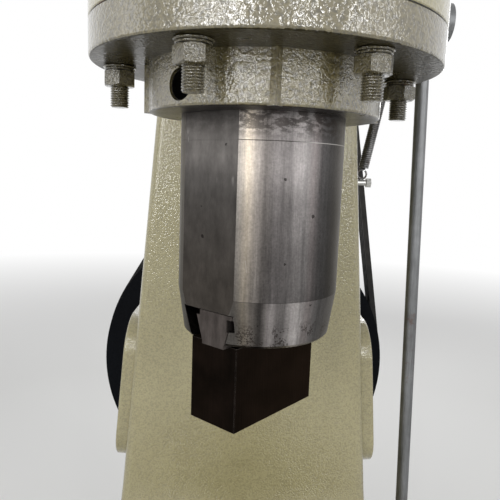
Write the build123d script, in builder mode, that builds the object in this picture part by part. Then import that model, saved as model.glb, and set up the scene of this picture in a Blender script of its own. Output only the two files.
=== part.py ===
from build123d import *
from math import atan, atan2, asin, cos, degrees, hypot, radians, sin, tan
import os

# Pneumatic forging hammer with one upright column, in millimetres.
# X runs to the operator's right, Y to the back and Z up.
# The origin is on the floor, under the axis of the ram.

os.makedirs("parts", exist_ok=True)

# Fits
running_gap = 0.06
seat_gap = 0.05
side_gap = 6.0
groove_gap = 0.5

# Ram and dies
ram_r = 90.0
ram_flat_offset = 82.0
ram_drop = 287.4
ram_taper_h = 50.0
ram_bottom_r = 83.0
ram_edge = 3.0
ram_length = 740.0
head_r = 110.0
head_h = 115.0
die_angle = -41.2
die_width = 66.4
die_length = 140.4
die_edge = 0.8
upper_die_h = 97.2
lower_die_h = 60.0
slot_mouth_w = 49.0
slot_deep_w = 72.0
slot_depth = 34.0
lower_slot_depth = 30.0
tongue_gap = 1.0
tongue_l = 162.0
tongue_notch_w = 7.0
tongue_notch_h = 6.0
relief_x = 28.0
relief_z = 16.0
relief_h = 13.0
die_gap = 3.5
wedge_w = 18.0
wedge_l = 150.0
wedge_shift = 23.0
ram_bore_r = 65.0
ram_bore_depth = 520.0
ram_bore_cone = 30.0

# Lower guide of the ram
guide_z = 1445.0
guide_flange_r = 186.0
guide_flange_t = 36.0
guide_boss_r = 125.2
guide_boss_h = 50.0
oil_hole_r = 15.0
oil_hole_drop = 30.0
oil_hole_depth = 28.0
boss_edge_r = 3.0
guide_edge_r = 3.0
joint_chamfer = 1.5
guide_key_t = 12.0

# Upper casting with the two cylinders
cylinder_flange_t = 40.0
cylinder_r = 150.0
head_clearance = 17.4
head_flange_r = 168.0
head_flange_t = 30.0
compressor_y = 430.0
seat_front = 80.0
chest_half_w = 118.0
chest_fillet_r = 16.0
foot_fillet_r = 12.0
cover_t = 32.0
cover_rim_t = 22.0
cover_step_r = 128.0
cover_boss_r = 62.0
cover_boss_h = 18.0
cover_edge_r = 6.0
gland_r = 32.0
gland_l = 20.0
valve_boss_r = 62.0
valve_boss_x = 170.0
valve_cap_t = 18.0
valve_cap_step_r = 36.0
valve_cap_step_t = 7.0
valve_shaft_r = 13.0
valve_shaft_depth = 110.0
valve_rise = 79.0
upper_valve_drop = 75.0

# Column
column_front = 298.0
column_back = 660.0
column_top_half_w = 161.0
column_taper = 42.6 / 514.0
column_edge_r = 14.0
throat_r = 150.0
throat_toe = 4.0
pad_proud = 22.5
pad_top_r = 62.0
pad_bottom_r = 22.0
pad_edge_r = 3.0
pad_cover_t = 10.0
pad_z = 929.0
pad_h = 274.0
pad_y = 480.0
pad_w = 322.0
pad_margin = 26.0
cover_gap = 1.0
cover_proud = 1.5

# Base
deck_z = 620.0
foot_t = 60.0
foot_half_w = 285.0
foot_front = -330.0
foot_back = 800.0
foot_corner_r = 45.0
base_front = -205.0
base_back = 720.0
base_spread = 25.0
foot_chamfer = 12.0
deck_lip = 2.0
well_chamfer = 6.0
bolt_edge = 42.0
bolt_hole_r = 17.0
bolt_pad_r = 36.0
bolt_pad_h = 8.0
well_half_w = 136.0

# Anvil
anvil_gap = 8.0
anvil_top = 640.0
anvil_taper = 14.0
sow_h = 60.0
sow_half_w = 100.0
sow_corner = 34.0
sow_chamfer = 5.0
sow_slot_w = 124.0
sow_tenon_h = 26.0
anvil_corner_r = 16.0

# Crankshaft, bearing and flywheel
shaft_r = 45.0
shaft_z = 771.0
shaft_start = 700.0
bearing_r = 108.0
bearing_foot_r = 145.0
bearing_foot_t = 28.0
bearing_rib_t = 14.0
bearing_rib_l = 90.0
bearing_rib_count = 6
bearing_cap_t = 22.0
bearing_cap_edge_r = 5.0
flywheel_front = 960.0
flywheel_w = 110.0
flywheel_r = 410.0
rim_t = 62.0
web_t = 34.0
hub_r = 82.0
hub_proud = 14.0
web_hole_r = 58.0
web_hole_count = 6
rim_draft = 6.0
shaft_nut_r = 66.0
shaft_nut_t = 26.0

# V-belts and pulleys
belt_count = 4
belt_pitch = 19.0
belt_top_w = 17.0
belt_h = 14.0
belt_proud = 5.0
belt_flank = 18.0
groove_depth = 13.0
motor_x = 175.0
motor_z = 1700.0
pulley_r = 90.0
pulley_edge = 12.5

# Motor and its bracket
motor_r = 104.0
motor_body_start = 640.0
motor_body_end = 880.0
shield_r = 114.0
shield_t = 22.0
cowl_r = 109.0
cowl_l = 50.0
cowl_edge_r = 16.0
shield_step_r = 74.0
shield_step_t = 10.0
motor_shaft_r = 19.0
fin_count = 28
fin_h = 11.0
fin_t = 3.0
motor_height = 132.0
motor_foot_w = 250.0
motor_foot_l = 190.0
motor_foot_t = 16.0
box_w = 92.0
box_h = 52.0
box_corner_r = 8.0
pedestal_w = 150.0
pedestal_h = 70.0
shelf_right = 310.0
shelf_back = 930.0
bracket_t = 25.0
bracket_rib_t = 20.0
bracket_foot_w = 205.0
bracket_foot_h = 290.0
bracket_x0 = -40.0
bracket_rib_inset = 20.0

# Treadle, link rod and valve lever
link_y = 215.0
arm_l = 135.0
treadle_z = 150.0
treadle_shaft_r = 17.5
treadle_arm_x = 301.0
treadle_bar_r = 15.0
treadle_front = -400.0
treadle_bend_r = 70.0
treadle_hub_r = 30.0
treadle_hub_w = 24.0
crank_t = 12.0
pin_r = 8.0
pin_clearance = 1.0
pin_end = 5.0
eye_r = 20.0
eye_w = 16.0
link_r = 11.0
link_low_x = 322.0
link_high_x = 280.0
lever_t = 12.0
lever_x = 246.0
stub_r = 6.0
stub_l = 24.0
lever_hub_r = 27.0
lever_hub_w = 26.0

# Return spring
spring_r = 9.0
spring_wire_r = 1.6
spring_low_z = 1323.0
spring_low_x = 188.0
spring_high_x = 228.0
hook_r = 8.0
anchor_r = 5.0
anchor_head_r = 9.0
anchor_head_t = 8.0
anchor_end_x = 196.0

# Worked out from the sizes above
guide_top = guide_z + guide_flange_t
ram_bottom = guide_z - ram_drop
ram_top = ram_bottom + ram_length
casting_top = ram_top + head_clearance
cylinder_h = casting_top - guide_top
valve_lever_z = guide_top + valve_rise
upper_valve_z = casting_top - upper_valve_drop
flywheel_back = flywheel_front + flywheel_w
belt_back = flywheel_back - pulley_edge
belt_front = belt_back - (belt_count - 1) * belt_pitch
belt_ys = [belt_front + i * belt_pitch for i in range(belt_count)]
bearing_end = flywheel_front - hub_proud - side_gap - bearing_cap_t
shelf_z = motor_z - motor_height
foundation_x = foot_half_w - bolt_edge
foundation_front = foot_front + bolt_edge
foundation_back = foot_back - bolt_edge
flank_angle = degrees(atan(column_taper))
pad_cover_w = pad_w - 2 * pad_margin
pad_cover_h = pad_h - 2 * pad_margin
cover_corner_r = pad_top_r - pad_margin


def column_half_w(z):
    """Half width of the column at a height above the floor."""
    return column_top_half_w + column_taper * (guide_top - z)


def die_plane(z):
    """Upright plane across the dies: its normal runs along their length."""
    a = radians(die_angle)
    return Plane(origin=(0, 0, z), x_dir=(cos(a), sin(a), 0), z_dir=(sin(a), -cos(a), 0))


def across_x(x, y, z):
    """Plane whose normal points to the operator's right."""
    return Plane(origin=(x, y, z), x_dir=(0, 1, 0), z_dir=(1, 0, 0))


def along_y(x, y, z):
    """Plane whose normal points to the back."""
    return Plane(origin=(x, y, z), x_dir=(-1, 0, 0), z_dir=(0, 1, 0))


def flank_plane(side, z):
    """Plane lying on the column's tapered flank, on side 1 (right) or -1 (left)."""
    a = radians(flank_angle)
    return Plane(
        origin=(side * column_half_w(z), pad_y, z),
        x_dir=(0, side, 0),
        z_dir=(side * cos(a), 0, sin(a)),
    )


def cover_plane(side):
    """Plane of the pad's face, centred on the inspection cover's recess."""
    return flank_plane(side, pad_z).offset(pad_proud)


def save(part, label):
    """Label a finished piece and write it to the parts folder."""
    part.label = label
    export_step(part, f"parts/{label}.step")


# Base casting with the well for the anvil
with BuildPart() as base:
    with BuildSketch(Plane.XY):
        with Locations((0, (foot_front + foot_back) / 2)):
            RectangleRounded(2 * foot_half_w, foot_back - foot_front, foot_corner_r)
    extrude(amount=foot_t)
    chamfer(base.edges().group_by(Axis.Z)[-1], foot_chamfer)
    with BuildSketch(Plane.XY.offset(foot_t)):
        with Locations((0, (base_front + base_back) / 2)):
            RectangleRounded(
                2 * (column_half_w(deck_z) + base_spread),
                base_back - base_front + 2 * base_spread,
                foot_corner_r,
            )
    with BuildSketch(Plane.XY.offset(deck_z)):
        with Locations((0, (base_front + base_back) / 2)):
            RectangleRounded(2 * (column_half_w(deck_z) + deck_lip), base_back - base_front, foot_corner_r)
    loft()
    with BuildSketch(Plane.XY.offset(deck_z)):
        Rectangle(2 * well_half_w, 2 * well_half_w)
    extrude(amount=-(deck_z - foot_t), mode=Mode.SUBTRACT)
    well_rim = base.edges().group_by(Axis.Z)[-1]
    chamfer(well_rim.filter_by(lambda e: abs(e.length - 2 * well_half_w) < 1), well_chamfer)
    with BuildSketch(Plane.XY.offset(foot_t)):
        for y in (foundation_front, foundation_back):
            with Locations((-foundation_x, y), (foundation_x, y)):
                Circle(bolt_pad_r)
    extrude(amount=bolt_pad_h)
    with BuildSketch(Plane.XY):
        for y in (foundation_front, foundation_back):
            with Locations((-foundation_x, y), (foundation_x, y)):
                Circle(bolt_hole_r)
    extrude(amount=foot_t + bolt_pad_h, mode=Mode.SUBTRACT)
    with BuildSketch(across_x(0, link_y, treadle_z)):
        Circle(treadle_shaft_r + running_gap)
    extrude(amount=foot_half_w, both=True, mode=Mode.SUBTRACT)
save(base.part, "base_casting")

# Column with the curved foot of the throat and the pads on its flanks
throat_z = deck_z + throat_toe
throat_mid = throat_r * sin(radians(45))
with BuildPart() as column:
    with BuildSketch(across_x(0, 0, 0)):
        with BuildLine():
            Polyline(
                (column_front - throat_r, throat_z),
                (column_front - throat_r, deck_z),
                (column_back, deck_z),
                (column_back, guide_top),
                (column_front, guide_top),
                (column_front, throat_z + throat_r),
            )
            ThreePointArc(
                (column_front, throat_z + throat_r),
                (column_front - throat_r + throat_mid, throat_z + throat_r - throat_mid),
                (column_front - throat_r, throat_z),
            )
        make_face()
    extrude(amount=column_half_w(deck_z), both=True)
    with BuildSketch(Plane.XZ.offset(-column_back)):
        Polygon(
            (-column_half_w(deck_z), deck_z),
            (column_half_w(deck_z), deck_z),
            (column_half_w(guide_top), guide_top),
            (-column_half_w(guide_top), guide_top),
            align=None,
        )
    extrude(amount=column_back - column_front + throat_r, mode=Mode.INTERSECT)
    corners = column.edges().filter_by(lambda e: e.length > throat_r and abs(e.center().X) > column_edge_r)
    fillet(corners.filter_by(lambda e: abs(e.tangent_at(0.5).Z) > 0.5), column_edge_r)
    for side in (-1, 1):
        face = cover_plane(side)
        with BuildSketch(face.offset(-2 * pad_proud)) as pad:
            Rectangle(pad_w, pad_h)
            fillet(pad.vertices().group_by(Axis.Z)[-1], pad_top_r)
            fillet(pad.vertices().group_by(Axis.Z)[0], pad_bottom_r)
        extrude(amount=2 * pad_proud)
        rim = column.edges(Select.LAST)
        fillet(rim.filter_by(lambda e: abs(face.to_local_coords(e.center()).Z) < seat_gap), pad_edge_r)
        with BuildSketch(face.offset(-pad_cover_t)):
            RectangleRounded(
                pad_cover_w + 2 * cover_gap, pad_cover_h + 2 * cover_gap, cover_corner_r + cover_gap
            )
        extrude(amount=2 * pad_cover_t, mode=Mode.SUBTRACT)
save(column.part, "column_casting")

# Inspection covers let into the flank pads
for side, name in ((-1, "side_cover_left"), (1, "side_cover_right")):
    with BuildPart() as side_cover:
        with BuildSketch(cover_plane(side).offset(-pad_cover_t)):
            RectangleRounded(pad_cover_w, pad_cover_h, cover_corner_r)
        extrude(amount=pad_cover_t + cover_proud)
        chamfer(side_cover.faces().sort_by(Axis.X)[-1 if side > 0 else 0].edges(), cover_proud / 2)
    save(side_cover.part, name)

# Upper casting: work cylinder in front, compression cylinder behind, valve chest between
with BuildPart() as cylinders:
    with BuildSketch(Plane.XY.offset(guide_top)) as seat:
        Circle(guide_flange_r)
        with Locations((0, (seat_front + column_back) / 2)):
            Rectangle(2 * column_half_w(guide_top), column_back - seat_front)
        fillet(seat.vertices().group_by(Axis.Y)[-1], column_edge_r)
    extrude(amount=cylinder_flange_t)
    chamfer(cylinders.edges().group_by(Axis.Z)[0], joint_chamfer)
    for radius, low_z in (
        (cylinder_r, guide_top + cylinder_flange_t),
        (head_flange_r, casting_top - head_flange_t),
    ):
        with BuildSketch(Plane.XY.offset(low_z)) as waist:
            with Locations((0, 0), (0, compressor_y)):
                Circle(radius)
            with Locations((0, compressor_y / 2)):
                Rectangle(2 * chest_half_w, compressor_y)
            fillet(waist.vertices().filter_by(lambda v: abs(v.X) > chest_half_w - 1), chest_fillet_r)
        extrude(amount=casting_top - low_z)
        if radius == cylinder_r:
            foot = cylinders.edges(Select.LAST).group_by(Axis.Z)[0]
            half_l = compressor_y / 2
            foot = foot.filter_by(lambda e: abs(e.center().Y - half_l) < half_l + cylinder_r)
            fillet(foot.filter_by(lambda e: abs(e.center().X) < cylinder_r), foot_fillet_r)
    for z in (valve_lever_z, upper_valve_z):
        with BuildSketch(across_x(0, link_y, z)):
            Circle(valve_boss_r)
        extrude(amount=valve_boss_x, both=True)
    with BuildSketch(Plane.XY.offset(guide_top)):
        Circle(head_r + running_gap)
    extrude(amount=cylinder_h, mode=Mode.SUBTRACT)
    with BuildSketch(across_x(valve_boss_x, link_y, valve_lever_z)):
        Circle(valve_shaft_r + running_gap)
    extrude(amount=-valve_shaft_depth, mode=Mode.SUBTRACT)
save(cylinders.part, "cylinder_casting")

# Covers of the two cylinders: bolting rim, raised middle and centre boss
for y, name in ((0, "work_cylinder_cover"), (compressor_y, "compressor_cover")):
    with BuildPart() as cylinder_cover:
        for radius, low_z, high_z in (
            (head_flange_r, casting_top, casting_top + cover_rim_t),
            (cover_step_r, casting_top + cover_rim_t, casting_top + cover_t),
            (cover_boss_r, casting_top + cover_t, casting_top + cover_t + cover_boss_h),
        ):
            with BuildSketch(Plane.XY.offset(low_z)):
                with Locations((0, y)):
                    Circle(radius)
            extrude(amount=high_z - low_z)
            fillet(cylinder_cover.edges().filter_by(GeomType.CIRCLE).group_by(Axis.Z)[-1], cover_edge_r)
    save(cylinder_cover.part, name)

# Caps over the valve bores, and the gland where the valve's stem comes out
with BuildPart() as valve_caps:
    for x, z in ((-1, valve_lever_z), (-1, upper_valve_z), (1, upper_valve_z)):
        with BuildSketch(across_x(x * valve_boss_x, link_y, z)):
            Circle(valve_boss_r)
        extrude(amount=x * valve_cap_t)
        with BuildSketch(across_x(x * (valve_boss_x + valve_cap_t), link_y, z)):
            Circle(valve_cap_step_r)
        extrude(amount=x * valve_cap_step_t)
save(valve_caps.part, "valve_caps")

with BuildPart() as valve_gland:
    with BuildSketch(across_x(valve_boss_x, link_y, valve_lever_z)):
        Circle(valve_boss_r)
        Circle(valve_shaft_r + running_gap, mode=Mode.SUBTRACT)
    extrude(amount=valve_cap_t)
    with BuildSketch(across_x(valve_boss_x + valve_cap_t, link_y, valve_lever_z)):
        Circle(gland_r)
        Circle(valve_shaft_r + running_gap, mode=Mode.SUBTRACT)
    extrude(amount=gland_l)
save(valve_gland.part, "valve_gland")

# Lower guide: bolted flange, boss, and a bore with the ram's two flats
with BuildPart() as guide:
    with BuildSketch(Plane.XY.offset(guide_z)):
        Circle(guide_flange_r)
    extrude(amount=guide_flange_t)
    with BuildSketch(Plane.XY.offset(guide_z)):
        Circle(guide_boss_r)
    extrude(amount=-guide_boss_h)
    fillet(guide.edges().filter_by(GeomType.CIRCLE).group_by(Axis.Z)[0], boss_edge_r)
    rim = guide.edges().filter_by(GeomType.CIRCLE).filter_by(lambda e: e.radius > guide_flange_r - 1)
    fillet(rim.group_by(Axis.Z)[0], guide_edge_r)
    chamfer(rim.group_by(Axis.Z)[-1], joint_chamfer)
    with BuildSketch(Plane.XY.offset(guide_z - guide_boss_h)):
        Circle(ram_r + running_gap)
    extrude(amount=guide_boss_h + guide_flange_t, mode=Mode.SUBTRACT)
    for offset_along in (ram_flat_offset + running_gap, -ram_flat_offset - running_gap):
        with BuildSketch(die_plane(guide_z - guide_boss_h).offset(offset_along)):
            with Locations((0, (guide_boss_h + guide_flange_t) / 2)):
                Rectangle(2 * ram_r, guide_boss_h + guide_flange_t)
        extrude(amount=guide_key_t if offset_along > 0 else -guide_key_t)
    with BuildSketch(die_plane(guide_z - oil_hole_drop).offset(guide_boss_r)):
        Circle(oil_hole_r)
    extrude(amount=-oil_hole_depth, mode=Mode.SUBTRACT)
save(guide.part, "ram_guide")


# Dovetail slots as mouth width, deep width and depth
ram_slot = (slot_mouth_w, slot_deep_w, slot_depth)
die_slot = (slot_mouth_w, slot_deep_w, lower_slot_depth)
anvil_slot = (sow_slot_w, sow_slot_w + slot_deep_w - slot_mouth_w, sow_tenon_h)


def slot_half(h, slot):
    """Half width of a dovetail slot at a distance from its mouth."""
    mouth, deep, depth = slot
    return mouth / 2 + (deep - mouth) / 2 * h / depth


def slot_outline(slot, up):
    """Dovetail slot, open at the mouth; up is 1 where it deepens upwards, or -1."""
    depth = slot[2]
    mouth = slot_half(0, slot)
    deep = slot_half(depth, slot)
    return [(-mouth, 0), (-deep, up * depth), (deep, up * depth), (mouth, 0)]


def tongue_outline(slot, up):
    """Tongue against the slot's right flank, with room for the wedge at its left."""
    top = slot[2] - tongue_gap
    mouth = slot_half(0, slot)
    deep = slot_half(top, slot)
    room = wedge_w + 2 * seat_gap
    return [
        (mouth - seat_gap, 0),
        (deep - seat_gap, up * top),
        (-deep + room, up * top),
        (-mouth + room, 0),
    ]


def wedge_outline(slot, up):
    """Wedge between the tongue and the slot's left flank."""
    low = tongue_gap
    top = slot[2] - tongue_gap
    side = seat_gap + wedge_w
    return [
        (-slot_half(low, slot) + seat_gap, up * low),
        (-slot_half(top, slot) + seat_gap, up * top),
        (-slot_half(top, slot) + side, up * top),
        (-slot_half(low, slot) + side, up * low),
    ]


# Ram: hollow steel bar with a piston head, two flats and the die slot
with BuildPart() as ram:
    with BuildSketch(Plane.XZ):
        with BuildLine():
            Polyline(
                (0, ram_bottom),
                (ram_bottom_r - ram_edge, ram_bottom),
                (ram_bottom_r, ram_bottom + ram_edge),
                (ram_r, ram_bottom + ram_taper_h),
                (ram_r, ram_top - head_h),
                (head_r, ram_top - head_h),
                (head_r, ram_top),
                (ram_bore_r, ram_top),
                (ram_bore_r, ram_top - ram_bore_depth),
                (0, ram_top - ram_bore_depth - ram_bore_cone),
                close=True,
            )
        make_face()
    revolve(axis=Axis.Z)
    flat_h = ram_length - head_h
    for side in (1, -1):
        with BuildSketch(die_plane(ram_bottom).offset(side * ram_flat_offset)):
            with Locations((0, flat_h / 2)):
                Rectangle(2 * ram_r, flat_h)
        extrude(amount=side * ram_r, mode=Mode.SUBTRACT)
    with BuildSketch(die_plane(ram_bottom)):
        Polygon(*slot_outline(ram_slot, 1), align=None)
        with Locations(((relief_x + slot_deep_w / 2) / 2, relief_z + relief_h / 2)):
            Rectangle(slot_deep_w / 2 - relief_x, relief_h)
    extrude(amount=ram_r, both=True, mode=Mode.SUBTRACT)
save(ram.part, "ram")

# Upper die: its tongue runs to the ram's flats and has a notch for the wedge and a groove in its flank
neck_left = -slot_mouth_w / 2 + wedge_w + 2 * seat_gap
neck_right = slot_mouth_w / 2 - seat_gap
tongue_top = slot_depth - tongue_gap
notch_left = -slot_half(tongue_top, ram_slot) + wedge_w
with BuildPart() as upper_die:
    with BuildSketch(die_plane(ram_bottom)):
        Polygon(*tongue_outline(ram_slot, 1), align=None)
        with Locations(((neck_left + neck_right) / 2, -die_gap / 2)):
            Rectangle(neck_right - neck_left, die_gap)
        with Locations((notch_left + tongue_notch_w / 2, tongue_top - tongue_notch_h / 2)):
            Rectangle(tongue_notch_w, tongue_notch_h, mode=Mode.SUBTRACT)
        with Locations(((relief_x + slot_deep_w / 2) / 2, relief_z + relief_h / 2)):
            Rectangle(slot_deep_w / 2 - relief_x, relief_h, mode=Mode.SUBTRACT)
    extrude(amount=tongue_l / 2, both=True)
    block_h = upper_die_h - die_gap
    with BuildSketch(die_plane(ram_bottom - die_gap)):
        with Locations((0, -block_h / 2)):
            Rectangle(die_width, block_h)
    extrude(amount=die_length / 2, both=True)
    chamfer(upper_die.edges().filter_by(lambda e: e.center().Z < ram_bottom - die_gap - die_edge), die_edge)
save(upper_die.part, "upper_die")

with BuildPart() as upper_wedge:
    with BuildSketch(die_plane(ram_bottom).offset(-wedge_shift)):
        Polygon(*wedge_outline(ram_slot, 1), align=None)
    extrude(amount=wedge_l / 2, both=True)
save(upper_wedge.part, "upper_die_wedge")

# Anvil block standing in the well of the base
anvil_foot_half_w = well_half_w - anvil_gap
with BuildPart() as anvil:
    with BuildSketch(Plane.XY.offset(foot_t)):
        RectangleRounded(2 * anvil_foot_half_w, 2 * anvil_foot_half_w, anvil_corner_r)
    with BuildSketch(Plane.XY.offset(anvil_top)):
        RectangleRounded(
            2 * (anvil_foot_half_w - anvil_taper), 2 * (anvil_foot_half_w - anvil_taper), anvil_corner_r
        )
    loft()
    with BuildSketch(Plane.XZ):
        with Locations((0, anvil_top)):
            Polygon(*slot_outline(anvil_slot, -1), align=None)
    extrude(amount=well_half_w, both=True, mode=Mode.SUBTRACT)
save(anvil.part, "anvil_block")

# Sow block with its tenon in the anvil, and the wedge beside the tenon
with BuildPart() as sow:
    with BuildSketch(Plane.XY.offset(anvil_top)):
        RectangleRounded(2 * sow_half_w, 2 * sow_half_w, sow_corner)
    extrude(amount=sow_h)
    chamfer(sow.edges().group_by(Axis.Z)[-1], sow_chamfer)
    with BuildSketch(Plane.XZ):
        with Locations((0, anvil_top)):
            Polygon(*tongue_outline(anvil_slot, -1), align=None)
    extrude(amount=sow_half_w, both=True)
    with BuildSketch(die_plane(anvil_top + sow_h)):
        Polygon(*slot_outline(die_slot, -1), align=None)
    extrude(amount=2 * sow_half_w, both=True, mode=Mode.SUBTRACT)
save(sow.part, "sow_block")

with BuildPart() as sow_wedge:
    with BuildSketch(Plane.XZ):
        with Locations((0, anvil_top)):
            Polygon(*wedge_outline(anvil_slot, -1), align=None)
    extrude(amount=anvil_foot_half_w, both=True)
save(sow_wedge.part, "sow_wedge")

# Lower die and its wedge
with BuildPart() as lower_die:
    with BuildSketch(die_plane(anvil_top + sow_h)):
        Polygon(*tongue_outline(die_slot, -1), align=None)
    extrude(amount=tongue_l / 2, both=True)
    with BuildSketch(die_plane(anvil_top + sow_h)):
        with Locations((0, lower_die_h / 2)):
            Rectangle(die_width, lower_die_h)
    extrude(amount=die_length / 2, both=True)
    chamfer(lower_die.edges().filter_by(lambda e: e.center().Z > anvil_top + sow_h + die_edge), die_edge)
save(lower_die.part, "lower_die")

with BuildPart() as lower_wedge:
    with BuildSketch(die_plane(anvil_top + sow_h).offset(-wedge_shift)):
        Polygon(*wedge_outline(die_slot, -1), align=None)
    extrude(amount=wedge_l / 2, both=True)
save(lower_wedge.part, "lower_die_wedge")

def shaft_radial_plane(angle):
    """Plane through the crankshaft's axis: local x runs to the back and local y out at an angle."""
    a = radians(angle)
    return Plane(origin=(0, 0, shaft_z), x_dir=(0, 1, 0), z_dir=(sin(a), 0, -cos(a)))


# Rear bearing of the crankshaft, with ribs between its barrel and its foot
with BuildPart() as bearing:
    with BuildSketch(along_y(0, column_back, shaft_z)):
        Circle(bearing_foot_r)
    extrude(amount=bearing_foot_t)
    with BuildSketch(along_y(0, column_back, shaft_z)):
        Circle(bearing_r)
    extrude(amount=bearing_end - column_back)
    for i in range(bearing_rib_count):
        with BuildSketch(shaft_radial_plane(360 / bearing_rib_count * i)):
            Polygon(
                (column_back + bearing_foot_t, 0),
                (column_back + bearing_foot_t, bearing_foot_r),
                (column_back + bearing_foot_t + bearing_rib_l, bearing_r),
                (column_back + bearing_foot_t + bearing_rib_l, 0),
                align=None,
            )
        extrude(amount=bearing_rib_t / 2, both=True)
    with BuildSketch(along_y(0, shaft_start, shaft_z)):
        Circle(shaft_r + running_gap)
    extrude(amount=bearing_end - shaft_start, mode=Mode.SUBTRACT)
save(bearing.part, "rear_bearing_housing")

with BuildPart() as bearing_cap:
    with BuildSketch(along_y(0, bearing_end, shaft_z)):
        Circle(bearing_r)
        Circle(shaft_r + running_gap, mode=Mode.SUBTRACT)
    extrude(amount=bearing_cap_t)
    cap_rim = bearing_cap.edges().filter_by(GeomType.CIRCLE).sort_by(SortBy.RADIUS)[-2:]
    fillet(cap_rim.sort_by(Axis.Y)[-1], bearing_cap_edge_r)
save(bearing_cap.part, "bearing_cap")

# Crankshaft end and the nut that holds the flywheel on it
shaft_end = flywheel_back + hub_proud + shaft_nut_t
with BuildPart() as crankshaft:
    with BuildSketch(along_y(0, shaft_start + side_gap, shaft_z)):
        Circle(shaft_r)
    extrude(amount=shaft_end - shaft_start - side_gap)
save(crankshaft.part, "crankshaft")

with BuildPart() as shaft_nut:
    with BuildSketch(along_y(0, flywheel_back + hub_proud, shaft_z)):
        RegularPolygon(shaft_nut_r, 6)
        Circle(shaft_r + seat_gap, mode=Mode.SUBTRACT)
    extrude(amount=shaft_nut_t)
save(shaft_nut.part, "flywheel_nut")


def belt_half(depth):
    """Half width of a V-belt at a depth below its outer face."""
    return belt_top_w / 2 - depth * tan(radians(belt_flank))


def groove_points(rim_r):
    """Section of the belt grooves across a rim, from front to back."""
    wall = groove_gap / cos(radians(belt_flank))
    wide = belt_half(belt_proud) + wall
    narrow = belt_half(belt_proud + groove_depth) + wall
    points = []
    for y in belt_ys:
        points += [
            (y - wide, rim_r),
            (y - narrow, rim_r - groove_depth),
            (y + narrow, rim_r - groove_depth),
            (y + wide, rim_r),
        ]
    return points


# Flywheel with the belt grooves in its rim
web_front = (flywheel_front + flywheel_back - web_t) / 2
web_back = web_front + web_t
rim_inner_r = flywheel_r - rim_t
with BuildPart() as flywheel:
    with BuildSketch(across_x(0, 0, shaft_z)):
        with BuildLine():
            Polyline(
                (flywheel_front - hub_proud, shaft_r + seat_gap),
                (flywheel_front - hub_proud, hub_r),
                (web_front, hub_r + hub_proud),
                (web_front, rim_inner_r - rim_draft),
                (flywheel_front, rim_inner_r),
                (flywheel_front, flywheel_r),
                *groove_points(flywheel_r),
                (flywheel_back, flywheel_r),
                (flywheel_back, rim_inner_r),
                (web_back, rim_inner_r - rim_draft),
                (web_back, hub_r + hub_proud),
                (flywheel_back + hub_proud, hub_r),
                (flywheel_back + hub_proud, shaft_r + seat_gap),
                close=True,
            )
        make_face()
    revolve(axis=Axis((0, 0, shaft_z), (0, 1, 0)))
    with BuildSketch(along_y(0, web_front, shaft_z)):
        with PolarLocations((hub_r + rim_inner_r) / 2, web_hole_count):
            Circle(web_hole_r)
    extrude(amount=web_t, mode=Mode.SUBTRACT)
save(flywheel.part, "flywheel")

# Pulley on the motor's shaft
pulley_front = belt_front - pulley_edge
pulley_back = belt_back + pulley_edge
with BuildPart() as pulley:
    with BuildSketch(across_x(motor_x, 0, motor_z)):
        with BuildLine():
            Polyline(
                (pulley_front, motor_shaft_r + seat_gap),
                (pulley_front, pulley_r),
                *groove_points(pulley_r),
                (pulley_back, pulley_r),
                (pulley_back, motor_shaft_r + seat_gap),
                close=True,
            )
        make_face()
    revolve(axis=Axis((motor_x, 0, motor_z), (0, 1, 0)))
save(pulley.part, "motor_pulley")

# V-belts: closed loops round the flywheel and the motor's pulley
centre_distance = hypot(motor_x, motor_z - shaft_z)
big_r = flywheel_r + belt_proud
small_r = pulley_r + belt_proud
centre_tilt = atan2(motor_x, motor_z - shaft_z)
run_tilt = asin((big_r - small_r) / centre_distance)
right_angle = -centre_tilt + run_tilt
left_angle = radians(180) - centre_tilt - run_tilt


def round_point(x, z, radius, angle, y):
    """Point on a circle about an axis along Y, by its angle from the right."""
    return (x + radius * cos(angle), y, z + radius * sin(angle))


for number, y in enumerate(belt_ys, 1):
    right_low = round_point(0, shaft_z, big_r, right_angle, y)
    right_high = round_point(motor_x, motor_z, small_r, right_angle, y)
    top = round_point(motor_x, motor_z, small_r, (right_angle + left_angle) / 2, y)
    left_high = round_point(motor_x, motor_z, small_r, left_angle, y)
    left_low = round_point(0, shaft_z, big_r, left_angle, y)
    bottom = round_point(0, shaft_z, big_r, (right_angle + left_angle) / 2 + radians(180), y)
    with BuildPart() as belt:
        with BuildLine() as loop:
            Line(right_low, right_high)
            ThreePointArc(right_high, top, left_high)
            Line(left_high, left_low)
            ThreePointArc(left_low, bottom, right_low)
        with BuildSketch(
            Plane(origin=right_low, x_dir=(0, 1, 0), z_dir=(-sin(right_angle), 0, cos(right_angle)))
        ):
            Polygon(
                (-belt_half(0), 0),
                (belt_half(0), 0),
                (belt_half(belt_h), belt_h),
                (-belt_half(belt_h), belt_h),
                align=None,
            )
        sweep(path=loop.wire())
    save(belt.part, f"drive_belt_{number}")

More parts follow.
